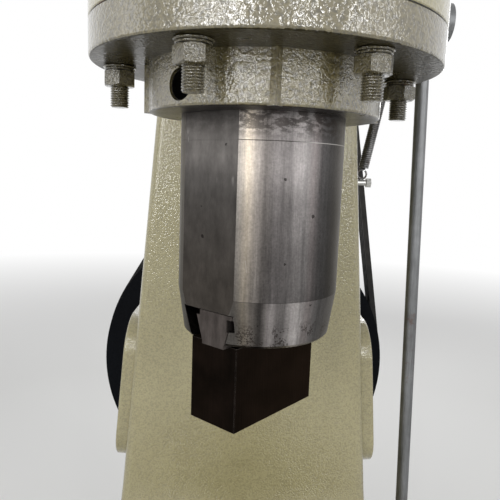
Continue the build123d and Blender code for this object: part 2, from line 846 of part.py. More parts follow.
# Motor: finned body, end shield, fan cowl, feet, terminal box and shaft
with BuildPart() as motor:
    with BuildSketch(along_y(motor_x, motor_body_start, motor_z)):
        Circle(motor_r)
        with PolarLocations(motor_r + fin_h / 2 - fin_t, fin_count):
            Rectangle(fin_h, fin_t)
    extrude(amount=motor_body_end - motor_body_start)
    with BuildSketch(along_y(motor_x, motor_body_end, motor_z)):
        Circle(shield_r)
    extrude(amount=shield_t)
    with BuildSketch(along_y(motor_x, motor_body_end + shield_t, motor_z)):
        Circle(shield_step_r)
    extrude(amount=shield_step_t)
    with BuildSketch(along_y(motor_x, motor_body_start - cowl_l, motor_z)):
        Circle(cowl_r)
    extrude(amount=cowl_l)
    fillet(motor.edges().filter_by(GeomType.CIRCLE).sort_by(Axis.Y)[0], cowl_edge_r)
    with BuildSketch(along_y(motor_x, motor_body_end + shield_t, motor_z)):
        Circle(motor_shaft_r)
    extrude(amount=pulley_back - motor_body_end - shield_t)
    with BuildSketch(Plane.XY.offset(shelf_z)):
        with Locations((motor_x, (motor_body_start + motor_body_end) / 2)):
            Rectangle(motor_foot_w, motor_foot_l)
    extrude(amount=motor_foot_t)
    with BuildSketch(Plane.XY.offset(shelf_z)):
        with Locations((motor_x, (motor_body_start + motor_body_end) / 2)):
            Rectangle(pedestal_w, motor_foot_l)
    extrude(amount=pedestal_h)
    with BuildSketch(Plane.XY.offset(motor_z)):
        with Locations((motor_x, (motor_body_start + motor_body_end) / 2)):
            RectangleRounded(box_w, box_w, box_corner_r)
    extrude(amount=motor_r + box_h)
save(motor.part, "motor")

# Bracket on the column's back that carries the motor
rib_root = column_back + bracket_t
with BuildPart() as bracket:
    with BuildSketch(Plane.XZ.offset(-column_back)):
        with Locations((bracket_x0 + bracket_foot_w / 2, shelf_z - bracket_foot_h / 2)):
            Rectangle(bracket_foot_w, bracket_foot_h)
    extrude(amount=-bracket_t)
    with BuildSketch(Plane.XY.offset(shelf_z - bracket_t)):
        with Locations(((bracket_x0 + shelf_right) / 2, (column_back + shelf_back) / 2)):
            Rectangle(shelf_right - bracket_x0, shelf_back - column_back)
    extrude(amount=bracket_t)
    for x in (bracket_x0 + bracket_rib_inset, bracket_x0 + bracket_foot_w - bracket_rib_t):
        with BuildSketch(across_x(x, 0, 0)):
            Polygon(
                (rib_root, shelf_z - bracket_foot_h + bracket_rib_t),
                (shelf_back - bracket_rib_t, shelf_z - bracket_t),
                (rib_root, shelf_z - bracket_t),
                align=None,
            )
        extrude(amount=bracket_rib_t)
save(bracket.part, "motor_bracket")

# Treadle: cross shaft, bent bar with its hubs, and the crank that lifts the link rod
with BuildPart() as treadle_shaft:
    with BuildSketch(across_x(-treadle_arm_x - treadle_hub_w / 2, link_y, treadle_z)):
        Circle(treadle_shaft_r)
    extrude(amount=2 * treadle_arm_x + treadle_hub_w)
save(treadle_shaft.part, "treadle_shaft")

crank_x = link_low_x - eye_w / 2 - side_gap - crank_t
with BuildPart() as treadle:
    with BuildLine() as bar_path:
        FilletPolyline(
            (-treadle_arm_x, link_y, treadle_z),
            (-treadle_arm_x, treadle_front, treadle_z),
            (treadle_arm_x, treadle_front, treadle_z),
            (treadle_arm_x, link_y, treadle_z),
            radius=treadle_bend_r,
        )
    with BuildSketch(Plane.XZ.offset(-link_y)):
        with Locations((-treadle_arm_x, treadle_z)):
            Circle(treadle_bar_r)
    sweep(path=bar_path.wire())
    for x in (-treadle_arm_x, treadle_arm_x):
        with BuildSketch(across_x(x, link_y, treadle_z)):
            Circle(treadle_hub_r)
        extrude(amount=treadle_hub_w / 2, both=True)
    with BuildSketch(across_x(crank_x, link_y, treadle_z)):
        Circle(eye_r)
        with Locations((arm_l, 0)):
            Circle(eye_r)
        with Locations((arm_l / 2, 0)):
            Rectangle(arm_l, 2 * eye_r - crank_t)
    extrude(amount=crank_t)
    with BuildSketch(across_x(crank_x + crank_t, link_y + arm_l, treadle_z)):
        Circle(pin_r)
    extrude(amount=side_gap + eye_w + pin_end)
    with BuildSketch(across_x(0, link_y, treadle_z)):
        Circle(treadle_shaft_r + seat_gap)
    extrude(amount=link_low_x + eye_w, both=True, mode=Mode.SUBTRACT)
save(treadle.part, "treadle_bar")

# Link rod from the treadle's crank up to the valve lever
link_y_pins = link_y + arm_l
link_rise = valve_lever_z - treadle_z
link_length = hypot(link_low_x - link_high_x, link_rise)
with BuildPart() as link:
    for x, z in ((link_low_x, treadle_z), (link_high_x, valve_lever_z)):
        with BuildSketch(across_x(x, link_y_pins, z)):
            Circle(eye_r)
        extrude(amount=eye_w / 2, both=True)
    with BuildSketch(
        Plane(
            origin=(link_low_x, link_y_pins, treadle_z),
            x_dir=(0, 1, 0),
            z_dir=(link_high_x - link_low_x, 0, link_rise),
        ).offset(pin_r + link_r / 2)
    ):
        Circle(link_r)
    extrude(amount=link_length - 2 * pin_r - link_r)
    for x, z, gap in (
        (link_low_x, treadle_z, running_gap),
        (link_high_x, valve_lever_z, pin_clearance),
    ):
        with BuildSketch(across_x(x, link_y_pins, z)):
            Circle(pin_r + gap)
        extrude(amount=eye_w, both=True, mode=Mode.SUBTRACT)
save(link.part, "link_rod")

# Valve stem and the lever on it
with BuildPart() as valve_shaft:
    with BuildSketch(across_x(valve_boss_x - valve_shaft_depth + side_gap, link_y, valve_lever_z)):
        Circle(valve_shaft_r)
    extrude(amount=lever_x + lever_hub_w - valve_boss_x + valve_shaft_depth - side_gap)
save(valve_shaft.part, "valve_shaft")

with BuildPart() as lever:
    with BuildSketch(across_x(lever_x, link_y, valve_lever_z)):
        Circle(lever_hub_r)
    extrude(amount=lever_hub_w)
    with BuildSketch(across_x(lever_x, link_y, valve_lever_z)):
        Circle(lever_hub_r)
        with Locations((arm_l, 0)):
            Circle(eye_r)
        with Locations((arm_l / 2, 0)):
            Rectangle(arm_l, 2 * eye_r - lever_t)
    extrude(amount=lever_t)
    with BuildSketch(across_x(lever_x + lever_t, link_y_pins, valve_lever_z)):
        Circle(pin_r)
    extrude(amount=link_high_x + eye_w / 2 + pin_end - lever_x - lever_t)
    with BuildSketch(across_x(lever_x, link_y_pins, valve_lever_z)):
        Circle(stub_r)
    extrude(amount=-stub_l)
    with BuildSketch(across_x(lever_x, link_y, valve_lever_z)):
        Circle(valve_shaft_r + seat_gap)
    extrude(amount=lever_hub_w, mode=Mode.SUBTRACT)
save(lever.part, "valve_lever")

# Return spring between the anchor bolt on the column and the lever's stub
anchor_x = column_half_w(spring_low_z - anchor_r)
hook_low = spring_low_z + anchor_r + seat_gap + spring_wire_r + hook_r
hook_high = valve_lever_z - stub_r - seat_gap - spring_wire_r - hook_r
with BuildPart() as anchor:
    with BuildSketch(across_x(anchor_x, link_y_pins, spring_low_z)):
        Circle(anchor_r)
    extrude(amount=anchor_end_x - anchor_x)
    with BuildSketch(across_x(anchor_end_x, link_y_pins, spring_low_z)):
        RegularPolygon(anchor_head_r, 6)
    extrude(amount=anchor_head_t)
save(anchor.part, "spring_anchor")

with BuildPart() as spring:
    spring_dir = Vector(spring_high_x - spring_low_x, 0, hook_high - hook_low)
    with BuildSketch(
        Plane(origin=(spring_low_x, link_y_pins, hook_low), x_dir=(0, 1, 0), z_dir=spring_dir).offset(hook_r)
    ):
        Circle(spring_r)
    extrude(amount=spring_dir.length - 2 * hook_r)
    for x, z in ((spring_low_x, hook_low), (spring_high_x, hook_high)):
        with BuildSketch(Plane(origin=(x, link_y_pins, z), x_dir=(1, 0, 0), z_dir=(0, 0, 1))):
            with Locations((hook_r, 0)):
                Circle(spring_wire_r)
        revolve(axis=Axis((x, link_y_pins, z), (0, 1, 0)))
save(spring.part, "return_spring")
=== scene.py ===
"""Pneumatic forging hammer: finishes, fasteners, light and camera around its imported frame."""

import logging
import math
from dataclasses import dataclass
from enum import Enum

import bmesh
import bpy
from mathutils import Matrix, Vector


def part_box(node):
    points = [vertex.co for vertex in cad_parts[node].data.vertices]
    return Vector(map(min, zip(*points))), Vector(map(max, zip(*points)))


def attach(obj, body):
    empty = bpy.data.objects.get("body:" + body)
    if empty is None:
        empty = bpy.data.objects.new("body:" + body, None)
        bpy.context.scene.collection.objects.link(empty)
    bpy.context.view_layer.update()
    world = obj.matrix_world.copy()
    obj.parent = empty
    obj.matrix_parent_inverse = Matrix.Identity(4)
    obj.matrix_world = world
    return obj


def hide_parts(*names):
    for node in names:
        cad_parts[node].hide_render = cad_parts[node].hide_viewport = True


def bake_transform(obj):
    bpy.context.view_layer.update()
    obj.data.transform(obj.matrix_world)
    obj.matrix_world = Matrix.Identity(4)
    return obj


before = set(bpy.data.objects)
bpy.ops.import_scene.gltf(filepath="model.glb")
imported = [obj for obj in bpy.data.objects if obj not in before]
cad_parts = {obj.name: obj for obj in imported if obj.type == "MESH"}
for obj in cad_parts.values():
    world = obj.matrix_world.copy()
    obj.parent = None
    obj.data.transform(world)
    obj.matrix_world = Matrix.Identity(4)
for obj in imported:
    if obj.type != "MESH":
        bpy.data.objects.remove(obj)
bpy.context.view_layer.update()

log = logging.getLogger("forging_hammer")

MM = 0.001
TURN = 2.0 * math.pi
SMOOTH_ANGLE = math.radians(32.0)
MERGE = 1e-7
CORE_R = 0.5 * MM

RIGHT = Vector((1.0, 0.0, 0.0))
BACK = Vector((0.0, 1.0, 0.0))
FRONT = Vector((0.0, -1.0, 0.0))
UP = Vector((0.0, 0.0, 1.0))
DOWN = Vector((0.0, 0.0, -1.0))

Colour = tuple[float, float, float]
Factors = tuple[float, float, float]
Point = tuple[float, float]
Material = bpy.types.Material
Socket = bpy.types.NodeSocket
Value = Socket | float
Tint = Socket | Colour
Stops = list[tuple[float, Colour | float]]


class Body(str, Enum):
    """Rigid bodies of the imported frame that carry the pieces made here."""

    FRAME = "frame"
    FLYWHEEL = "flywheel"
    TREADLE = "treadle"
    LEVER = "valve_lever"


class Slot(str, Enum):
    """Names of material slots of the record."""

    PAINT = "frame_paint"
    BRIGHT = "bright_steel"
    MOTOR = "motor_paint"
    LINKAGE = "linkage_steel"
    ZINC = "zinc_plate"
    SPRING = "spring_steel"


class Side(int, Enum):
    """Sides of the machine, by the sign of X."""

    LEFT = -1
    RIGHT = 1


class NodeTree:
    """Shorthand for building one material's nodes."""

    def __init__(self, name: str) -> None:
        """Start a material with its Principled shader.

        Args:
            name: Name of the material.
        """
        self.material = bpy.data.materials.new(name)
        self.material.use_nodes = True
        self.nodes = self.material.node_tree.nodes
        self.links = self.material.node_tree.links
        self.shader = self.nodes["Principled BSDF"]
        self.place = self.add("ShaderNodeTexCoord").outputs["Object"]

    def add(self, kind: str, **settings: object) -> bpy.types.Node:
        """Add a node.

        Args:
            kind: Type name of the node.
            settings: Properties of the node.

        Returns:
            The new node.
        """
        node = self.nodes.new(kind)
        for key, value in settings.items():
            setattr(node, key, value)
        return node

    def put(self, socket: Socket, value: Value | Tint | tuple[float, ...]) -> None:
        """Link an output to a socket, or set the socket's own value.

        Args:
            socket: Socket of a node.
            value: Output of another node, or a value.
        """
        if isinstance(value, Socket):
            self.links.new(value, socket)
        else:
            socket.default_value = value

    def math(self, kind: str, a: Value, b: Value = 0.0, c: Value = 0.0, clamp: bool = False) -> Socket:
        """Add a Math node.

        Args:
            kind: Operation of the node.
            a: First value or output.
            b: Second value or output.
            c: Third value or output.
            clamp: Whether the result stays from 0 to 1.

        Returns:
            The node's output.
        """
        node = self.add("ShaderNodeMath", operation=kind, use_clamp=clamp)
        for socket, value in zip(node.inputs, (a, b, c)):
            self.put(socket, value)
        return node.outputs[0]

    def plus(self, a: Value, b: Value) -> Socket:
        """Sum of two values."""
        return self.math("ADD", a, b)

    def minus(self, a: Value, b: Value) -> Socket:
        """First value less the second."""
        return self.math("SUBTRACT", a, b)

    def times(self, a: Value, b: Value) -> Socket:
        """Product of two values."""
        return self.math("MULTIPLY", a, b)

    def over(self, a: Value, b: Value) -> Socket:
        """First value divided by the second."""
        return self.math("DIVIDE", a, b)

    def larger(self, a: Value, b: Value) -> Socket:
        """Larger one of two values."""
        return self.math("MAXIMUM", a, b)

    def above(self, a: Value, limit: Value) -> Socket:
        """Give 1 where a value is above a limit, and 0 elsewhere."""
        return self.math("GREATER_THAN", a, limit)

    def below(self, a: Value, limit: Value) -> Socket:
        """Give 1 where a value is below a limit, and 0 elsewhere."""
        return self.math("LESS_THAN", a, limit)

    def near(self, a: Value, middle: Value, reach: float) -> Socket:
        """Give 1 where a value is within reach of a middle, and 0 elsewhere."""
        return self.below(self.math("ABSOLUTE", self.minus(a, middle)), reach)

    def split(self) -> tuple[Socket, ...]:
        """Split the object's own coordinates.

        Returns:
            Its X, Y and Z.
        """
        node = self.add("ShaderNodeSeparateXYZ")
        self.links.new(self.place, node.inputs[0])
        return tuple(node.outputs)

    def noise(self, scale: float, detail: float = 2.0, rough: float = 0.5, stretch: Factors | None = None,
              at: Socket | None = None, swirl: float = 0.0) -> Socket:
        """Add a noise texture over the object's own coordinates.

        Args:
            scale: Bumps per metre.
            detail: Number of finer layers.
            rough: Strength of the finer layers.
            stretch: Factors on the coordinates along X, Y and Z.
            at: Coordinates to use in place of the object's own.
            swirl: Distortion that draws the bumps out into worms.

        Returns:
            The texture's value.
        """
        place = self.place if at is None else at
        if stretch is not None:
            mapping = self.add("ShaderNodeMapping")
            mapping.inputs["Scale"].default_value = stretch
            self.links.new(place, mapping.inputs["Vector"])
            place = mapping.outputs[0]
        node = self.add("ShaderNodeTexNoise")
        self.links.new(place, node.inputs["Vector"])
        node.inputs["Scale"].default_value = scale
        node.inputs["Detail"].default_value = detail
        node.inputs["Roughness"].default_value = rough
        node.inputs["Distortion"].default_value = swirl
        return node.outputs["Fac"]

    def hairlines(self, scale: float, width: float, share: float) -> Socket:
        """Thin, mostly upright scratches, a number per metre, with a share of their length left out."""
        line = self.near(self.noise(scale, 0.0, 0.4, stretch=(1.0, 1.0, 0.3)), 0.5, width)
        return self.times(line, self.above(self.noise(scale * 1.7, 2.0, 0.5), share))

    def pits(self, scale: float, size: float, share: float) -> Socket:
        """Scattered uneven pits, 0 or 1.

        Args:
            scale: Cells per metre.
            size: Radius of a pit as a share of its cell.
            share: Share of the cells with no pit.

        Returns:
            Whether a point lies in a pit.
        """
        cells = self.add("ShaderNodeTexVoronoi")
        cells.inputs["Scale"].default_value = scale
        self.links.new(self.place, cells.inputs["Vector"])
        uneven = self.times(self.noise(scale * 14.0, 2.0, 0.6), 2.0 * size)
        inside = self.below(cells.outputs["Distance"], uneven)
        chosen = self.add("ShaderNodeSeparateColor")
        self.links.new(cells.outputs["Color"], chosen.inputs[0])
        return self.times(inside, self.above(chosen.outputs[0], share))

    def ramp(self, source: Value, stops: Stops, smooth: bool = False) -> Socket:
        """Turn a value into a colour by a list of stops.

        Args:
            source: Value from 0 to 1.
            stops: Places with a colour or a grey level.
            smooth: Whether colours ease between stops.

        Returns:
            The ramp's colour.
        """
        node = self.add("ShaderNodeValToRGB")
        band = node.color_ramp
        band.interpolation = "EASE" if smooth else "LINEAR"
        while len(band.elements) < len(stops):
            band.elements.new(0.5)
        for element, (at, colour) in zip(band.elements, stops):
            element.position = at
            rgb = (colour,) * 3 if isinstance(colour, float) else colour
            element.color = (*rgb, 1.0)
        self.put(node.inputs["Fac"], source)
        return node.outputs["Color"]

    def mix(self, share: Value, a: Tint, b: Tint, kind: str = "MIX") -> Socket:
        """Mix two colours.

        Args:
            share: Share of the second colour.
            a: First colour or output.
            b: Second colour or output.
            kind: Blend mode.

        Returns:
            The mixed colour.
        """
        node = self.add("ShaderNodeMix", data_type="RGBA", blend_type=kind)
        self.put(node.inputs[0], share)
        for socket, value in ((node.inputs[6], a), (node.inputs[7], b)):
            self.put(socket, (*value, 1.0) if isinstance(value, tuple) else value)
        return node.outputs[2]

    def tint(self, colour: Tint, factor: Tint) -> Socket:
        """Multiply a colour by another one."""
        return self.mix(1.0, colour, factor, "MULTIPLY")

    def tone(self, colour: Tint, source: Value, stops: Stops) -> Socket:
        """Multiply a colour by a ramp of a value from 0 to 1."""
        return self.tint(colour, self.ramp(source, stops))

    def bump(self, height: Value, depth: float, strength: float = 1.0) -> Socket:
        """Turn a height into a bumped normal.

        Args:
            height: Height from 0 to 1.
            depth: Depth of a full step, in metres.
            strength: Share of the effect.

        Returns:
            The normal.
        """
        node = self.add("ShaderNodeBump")
        node.inputs["Strength"].default_value = strength
        node.inputs["Distance"].default_value = depth
        self.put(node.inputs["Height"], height)
        return node.outputs[0]

    def wear(self, width: float) -> Socket:
        """Share of wear along convex edges, from 0 to 1.

        Args:
            width: Width of the worn strip, in metres.

        Returns:
            The share of wear.
        """
        bevel = self.add("ShaderNodeBevel", samples=4)
        bevel.inputs["Radius"].default_value = width
        geometry = self.add("ShaderNodeNewGeometry")
        dot = self.add("ShaderNodeVectorMath", operation="DOT_PRODUCT")
        self.links.new(bevel.outputs[0], dot.inputs[0])
        self.links.new(geometry.outputs["Normal"], dot.inputs[1])
        return self.math("MULTIPLY", self.minus(1.0, dot.outputs["Value"]), 6.0, clamp=True)

    def finish(self, colour: Tint, rough: Value, metal: Value = 0.0, normal: Socket | None = None,
               coat: Value = 0.0, coat_rough: float = 0.1) -> Material:
        """Set the Principled shader and hand the material over.

        Args:
            colour: Base colour or output.
            rough: Roughness or output.
            metal: Metallic value or output.
            normal: Normal output.
            coat: Weight of the clear coat, or output.
            coat_rough: Roughness of the clear coat.

        Returns:
            The material.
        """
        inputs = self.shader.inputs
        self.put(inputs["Base Color"], (*colour, 1.0) if isinstance(colour, tuple) else colour)
        self.put(inputs["Roughness"], rough)
        self.put(inputs["Metallic"], metal)
        self.put(inputs["Coat Weight"], coat)
        inputs["Coat Roughness"].default_value = coat_rough
        if normal is not None:
            self.links.new(normal, inputs["Normal"])
            self.links.new(normal, inputs["Coat Normal"])
        return self.material


@dataclass(frozen=True)
class Paint:
    """Sprayed machine paint: glossy orange peel with painted shade in its hollows and painted highlight on
    its ridges, stains, worn edges, and, where set, painted shade on faces that look down.
    """

    name: str
    colour: Colour
    shade: Colour
    peel_scale: float = 340.0
    peel_depth: float = 0.6 * MM
    swirl: float = 0.0
    # strength of the painted shade in the peel's hollows and of the painted highlight on its ridges
    peel_shade: float = 0.16
    rough: float = 0.3
    coat: float = 0.35
    coat_ior: float = 1.5
    coat_rough: float = 0.07
    gloss: float = 0.5
    chips: float = 0.25
    grime: float = 0.3
    # share of the colour kept on faces that look down; below 1 it paints shade there
    under: float = 1.0
    bare_below: float | None = None
    fine_below: float | None = None
    fine_ratio: float = 2.4
    fine_share: float = 0.15
    finer_share: float = 0.6
    worn_edge: float = 1.8 * MM
    down_limit: float = -0.8
    dulled: float = 0.8
    dirt: Colour = (0.07, 0.058, 0.038)
    chipped: Colour = (0.05, 0.042, 0.034)
    turned: tuple[Colour, Colour] = ((0.035, 0.03, 0.027), (0.075, 0.064, 0.058))

    def sprayed(self, tree: NodeTree, peel: Socket, fine: Socket) -> Socket:
        """Paint in two shades, with painted shade in the hollows of its peel and painted highlight on its
        ridges.

        Args:
            tree: Material that it is for.
            peel: Coarse peel.
            fine: Fine peel.

        Returns:
            The colour.
        """
        cloud = tree.ramp(tree.noise(6.0, 3.0, 0.55), [(0.4, 0.0), (0.64, 1.0)])
        colour = tree.mix(cloud, self.colour, self.shade)
        # painted shade in the hollows of the peel, painted highlight on its ridges
        peel_shade = [(0.34, 1.0 - self.peel_shade), (0.5, 1.0), (0.64, 1.0 + 0.45 * self.peel_shade)]
        return tree.tone(tree.tone(colour, peel, peel_shade), fine, [(0.3, 0.9), (0.7, 1.1)])

    def dirtied(self, tree: NodeTree, colour: Socket, height: Socket) -> Socket:
        """Stains that thin out with height.

        Args:
            tree: Material that they are for.
            colour: Colour to stain.
            height: Height above the floor.

        Returns:
            The stained colour.
        """
        dirt = tree.times(tree.noise(24.0, 5.0, 0.7), tree.noise(5.0, 2.0, 0.5))
        low = tree.ramp(tree.over(height, 1.4), [(0.0, 0.62), (0.3, 0.42), (0.6, 0.2)])
        return tree.mix(tree.times(tree.ramp(dirt, [(0.3, 0.0), (0.5, self.grime)]), low), colour, self.dirt)

    def shade_under(self, tree: NodeTree, colour: Socket) -> tuple[Socket, Socket, Socket]:
        """Painted shade on faces that look down: darker colour, with a duller coat and gloss.

        Args:
            tree: Material that it is for.
            colour: Colour to darken.

        Returns:
            The colour, the coat's weight and the gloss.
        """
        parts = tree.add("ShaderNodeSeparateXYZ")
        tree.links.new(tree.add("ShaderNodeNewGeometry").outputs["Normal"], parts.inputs[0])
        down = tree.below(parts.outputs["Z"], self.down_limit)
        # painted shade: darken the colour of faces that look down
        colour = tree.tint(colour, tree.mix(down, (1.0, 1.0, 1.0), (self.under,) * 3))
        dull = tree.minus(1.0, tree.times(down, self.dulled))
        return colour, tree.times(dull, self.coat), tree.times(dull, self.gloss)

    def make(self) -> Material:
        """Build the material.

        Returns:
            The material.
        """
        tree = NodeTree(self.name)
        height = tree.split()[2]
        peel = tree.noise(self.peel_scale, 1.0, 0.35, swirl=self.swirl)
        fine = tree.noise(self.peel_scale * self.fine_ratio, 1.0, 0.4)
        colour = self.dirtied(tree, self.sprayed(tree, peel, fine), height)
        coat, gloss, metal, grain = self.coat, self.gloss, 0.0, self.fine_share
        # painted shade on faces that look down, with a duller coat and gloss
        if self.under < 1.0:
            colour, coat, gloss = self.shade_under(tree, colour)
        edge = tree.times(tree.wear(self.worn_edge), tree.noise(120.0, 4.0, 0.7))
        colour = tree.mix(tree.above(edge, 1.0 - self.chips), colour, self.chipped)
        rough = tree.ramp(tree.noise(14.0, 3.0, 0.6), [(0.3, self.rough - 0.06), (0.7, self.rough + 0.08)])
        if self.bare_below is not None:
            metal = tree.below(height, self.bare_below)
            colour = tree.mix(metal, colour, tree.mix(tree.noise(340.0, 3.0, 0.6), *self.turned))
        if self.fine_below is not None:
            grain = tree.math("MULTIPLY_ADD", tree.below(height, self.fine_below), self.finer_share, grain)
        normal = tree.bump(tree.plus(peel, tree.times(fine, grain)), self.peel_depth)
        tree.put(tree.shader.inputs["Specular IOR Level"], gloss)
        tree.shader.inputs["Coat IOR"].default_value = self.coat_ior
        return tree.finish(colour, rough, metal, normal, coat=coat, coat_rough=self.coat_rough)


@dataclass(frozen=True)
class Steel:
    """Bare or plated metal with drawn, turned or ground marks and stains."""

    name: str
    colour: Colour
    shade: Colour
    rough: float = 0.34
    marks: Factors = (1.0, 1.0, 0.06)
    mark_scale: float = 420.0
    mark_depth: float = 0.12 * MM
    rust: float = 0.12
    rust_colour: Colour = (0.11, 0.052, 0.03)

    def make(self) -> Material:
        """Build the material.

        Returns:
            The material.
        """
        tree = NodeTree(self.name)
        fine = tree.noise(self.mark_scale, 3.0, 0.6, stretch=self.marks)
        cloud = tree.ramp(tree.noise(22.0, 4.0, 0.6), [(0.32, 0.0), (0.68, 1.0)])
        colour = tree.tone(tree.mix(cloud, self.colour, self.shade), fine, [(0.25, 0.78), (0.75, 1.2)])
        spots = tree.times(tree.noise(60.0, 5.0, 0.75), tree.noise(9.0, 2.0, 0.5))
        rusty = tree.ramp(spots, [(0.44 - self.rust, 0.0), (0.56 - self.rust, 0.85)])
        colour = tree.mix(rusty, colour, self.rust_colour)
        rough = tree.ramp(fine, [(0.2, self.rough - 0.08), (0.8, self.rough + 0.12)])
        rough = tree.mix(rusty, rough, (0.75, 0.75, 0.75))
        metal = tree.minus(1.0, tree.times(rusty, 0.7))
        return tree.finish(colour, rough, metal, tree.bump(fine, self.mark_depth))


@dataclass(frozen=True)
class RamMaps:
    """Patterns that the ram's round sides, flats and marks share."""

    z: Socket
    share: Socket
    level: Socket
    streaks: Socket
    lines: Socket
    grain: Socket
    blotch: Socket
    flat: Socket


@dataclass(frozen=True)
class RamSteel:
    """Ground ram: round sides with soft upright stripes and warm tints of painted reflection, a taper, and
    dull flats painted dark as a reflection of dark surroundings.
    """

    name: str
    flat_azimuth: float
    flat_offset: float
    low_z: float
    taper_z: float
    scribe_z: float
    top_z: float
    # tone of the painted reflection at each azimuth in degrees, on the round sides
    reflection_bands: tuple[Point, ...] = (
        (-180.0, 0.025), (-150.0, 0.06), (-106.0, 0.13), (-99.5, 0.23), (-93.5, 0.17), (-88.0, 0.09),
        (-77.0, 0.11), (-67.0, 0.155), (-58.0, 0.135), (-48.0, 0.055), (-36.0, 0.04), (-18.0, 0.07),
        (40.0, 0.13), (95.0, 0.08), (130.0, 0.15),
    )
    # tone of the painted reflection at each azimuth in degrees, on the taper
    taper_reflection_bands: tuple[Point, ...] = (
        (-180.0, 0.025), (-150.0, 0.05), (-106.0, 0.09), (-98.0, 0.17), (-89.0, 0.04), (-82.0, 0.21),
        (-76.0, 0.13), (-65.0, 0.37), (-56.0, 0.22), (-44.0, 0.085), (-20.0, 0.11), (60.0, 0.14),
    )
    taper_line: float = 0.5 * MM
    scribe_line: float = 0.4 * MM
    relief: float = 0.2 * MM
    mirror_tint: Colour = (0.72, 0.7, 0.66)
    turned_line: Colour = (0.03, 0.027, 0.025)
    # painted shade and painted highlight of the scribed line
    scribe_light: tuple[Colour, Colour] = ((0.025, 0.022, 0.02), (0.5, 0.48, 0.46))
    rubbed: Colour = (0.4, 0.38, 0.36)
    oil: Colour = (0.026, 0.022, 0.02)
    pit: Colour = (0.014, 0.012, 0.011)
    rust: Colour = (0.03, 0.024, 0.021)
    scratched: Colour = (0.42, 0.4, 0.38)

    def maps(self, tree: NodeTree) -> RamMaps:
        """Make the shared patterns.

        Args:
            tree: Material that they are for.

        Returns:
            The patterns.
        """
        x, y, z = tree.split()
        azimuth = tree.math("ARCTAN2", y, x)
        share = tree.plus(tree.over(azimuth, TURN), 0.5)
        sway = tree.times(tree.minus(tree.noise(9.0, 2.0, 0.5), 0.5), 0.016)
        upright = tree.add("ShaderNodeCombineXYZ")
        tree.put(upright.inputs[0], tree.times(azimuth, 20.0))
        tree.put(upright.inputs[1], tree.times(z, 9.0))
        facing = math.cos(self.flat_azimuth), math.sin(self.flat_azimuth)
        across = tree.plus(tree.times(x, facing[0]), tree.times(y, facing[1]))
        return RamMaps(
            z=z,
            share=tree.plus(share, sway),
            level=tree.over(tree.minus(z, self.low_z), self.top_z - self.low_z),
            streaks=tree.noise(1.0, 4.0, 0.6, at=upright.outputs[0]),
            lines=tree.noise(5.0, 3.0, 0.6, at=upright.outputs[0]),
            grain=tree.noise(420.0, 3.0, 0.6),
            blotch=tree.noise(34.0, 4.0, 0.6),
            flat=tree.above(tree.math("ABSOLUTE", across), self.flat_offset),
        )

    def band(self, tree: NodeTree, maps: RamMaps, stops: tuple[Point, ...]) -> Socket:
        """Upright stripes of painted reflection round the ram, each with its azimuth in degrees."""
        return tree.ramp(maps.share, [((a + 180.0) / 360.0, level) for a, level in stops], smooth=True)

    def round_sides(self, tree: NodeTree, maps: RamMaps) -> Socket:
        """Colour of the round sides and of the taper below them: upright stripes and warm tints of painted
        reflection, lighter high up, with grinding streaks and grain.

        Args:
            tree: Material that it is for.
            maps: The shared patterns.

        Returns:
            The colour.
        """
        upper = tree.tone(self.band(tree, maps, self.reflection_bands), maps.level,
                          [(0.2, 0.8), (0.42, 0.87), (0.62, 1.05), (0.78, 1.64), (0.9, 1.54), (1.0, 1.0)])
        taper = tree.below(maps.z, self.taper_z)
        colour = tree.mix(taper, upper, self.band(tree, maps, self.taper_reflection_bands))
        colour = tree.tone(colour, maps.streaks, [(0.3, 0.8), (0.5, 1.0), (0.7, 1.22)])
        colour = tree.tone(colour, maps.lines, [(0.3, 0.88), (0.7, 1.13)])
        colour = tree.tone(colour, maps.grain, [(0.3, 0.84), (0.7, 1.17)])
        colour = tree.tone(colour, maps.blotch, [(0.3, 0.86), (0.7, 1.12)])
        # warm tints round the ram by azimuth: painted reflection
        return tree.tone(colour, maps.share, [
            (0.205, (1.0, 0.92, 0.84)), (0.222, (1.0, 0.87, 0.7)), (0.24, (1.0, 0.9, 0.82)),
            (0.27, (1.0, 0.92, 0.9)), (0.33, (1.0, 0.94, 0.92)), (0.345, (1.0, 0.89, 0.87)),
            (0.37, (0.99, 0.95, 0.95)),
        ])

    def turned_lines(self, tree: NodeTree, maps: RamMaps, colour: Socket) -> tuple[Socket, Socket]:
        """Dark line where the taper starts, and a scribed line with painted shade on one side of the ram and
        painted highlight round the other.

        Args:
            tree: Material that they are for.
            maps: The shared patterns.
            colour: Colour to mark.

        Returns:
            The marked colour, and where the scribed line is.
        """
        start = tree.near(maps.z, self.taper_z, self.taper_line)
        colour = tree.mix(tree.times(start, 0.45), colour, self.turned_line)
        scribe = tree.near(maps.z, self.scribe_z, self.scribe_line)
        # painted shade and highlight along the scribed line, by azimuth
        scribe_light = tree.ramp(maps.share, [(0.3, self.scribe_light[0]), (0.36, self.scribe_light[1])])
        return tree.mix(tree.times(scribe, 0.75), colour, scribe_light), scribe

    def flats(self, tree: NodeTree, maps: RamMaps) -> Socket:
        """Colour of the two milled flats, painted dark as a reflection of dark surroundings and changing in
        tone with height, with bright rubs near their top.

        Args:
            tree: Material that it is for.
            maps: The shared patterns.

        Returns:
            The colour.
        """
        scuff = tree.noise(70.0, 5.0, 0.65, stretch=(1.0, 1.0, 0.4))
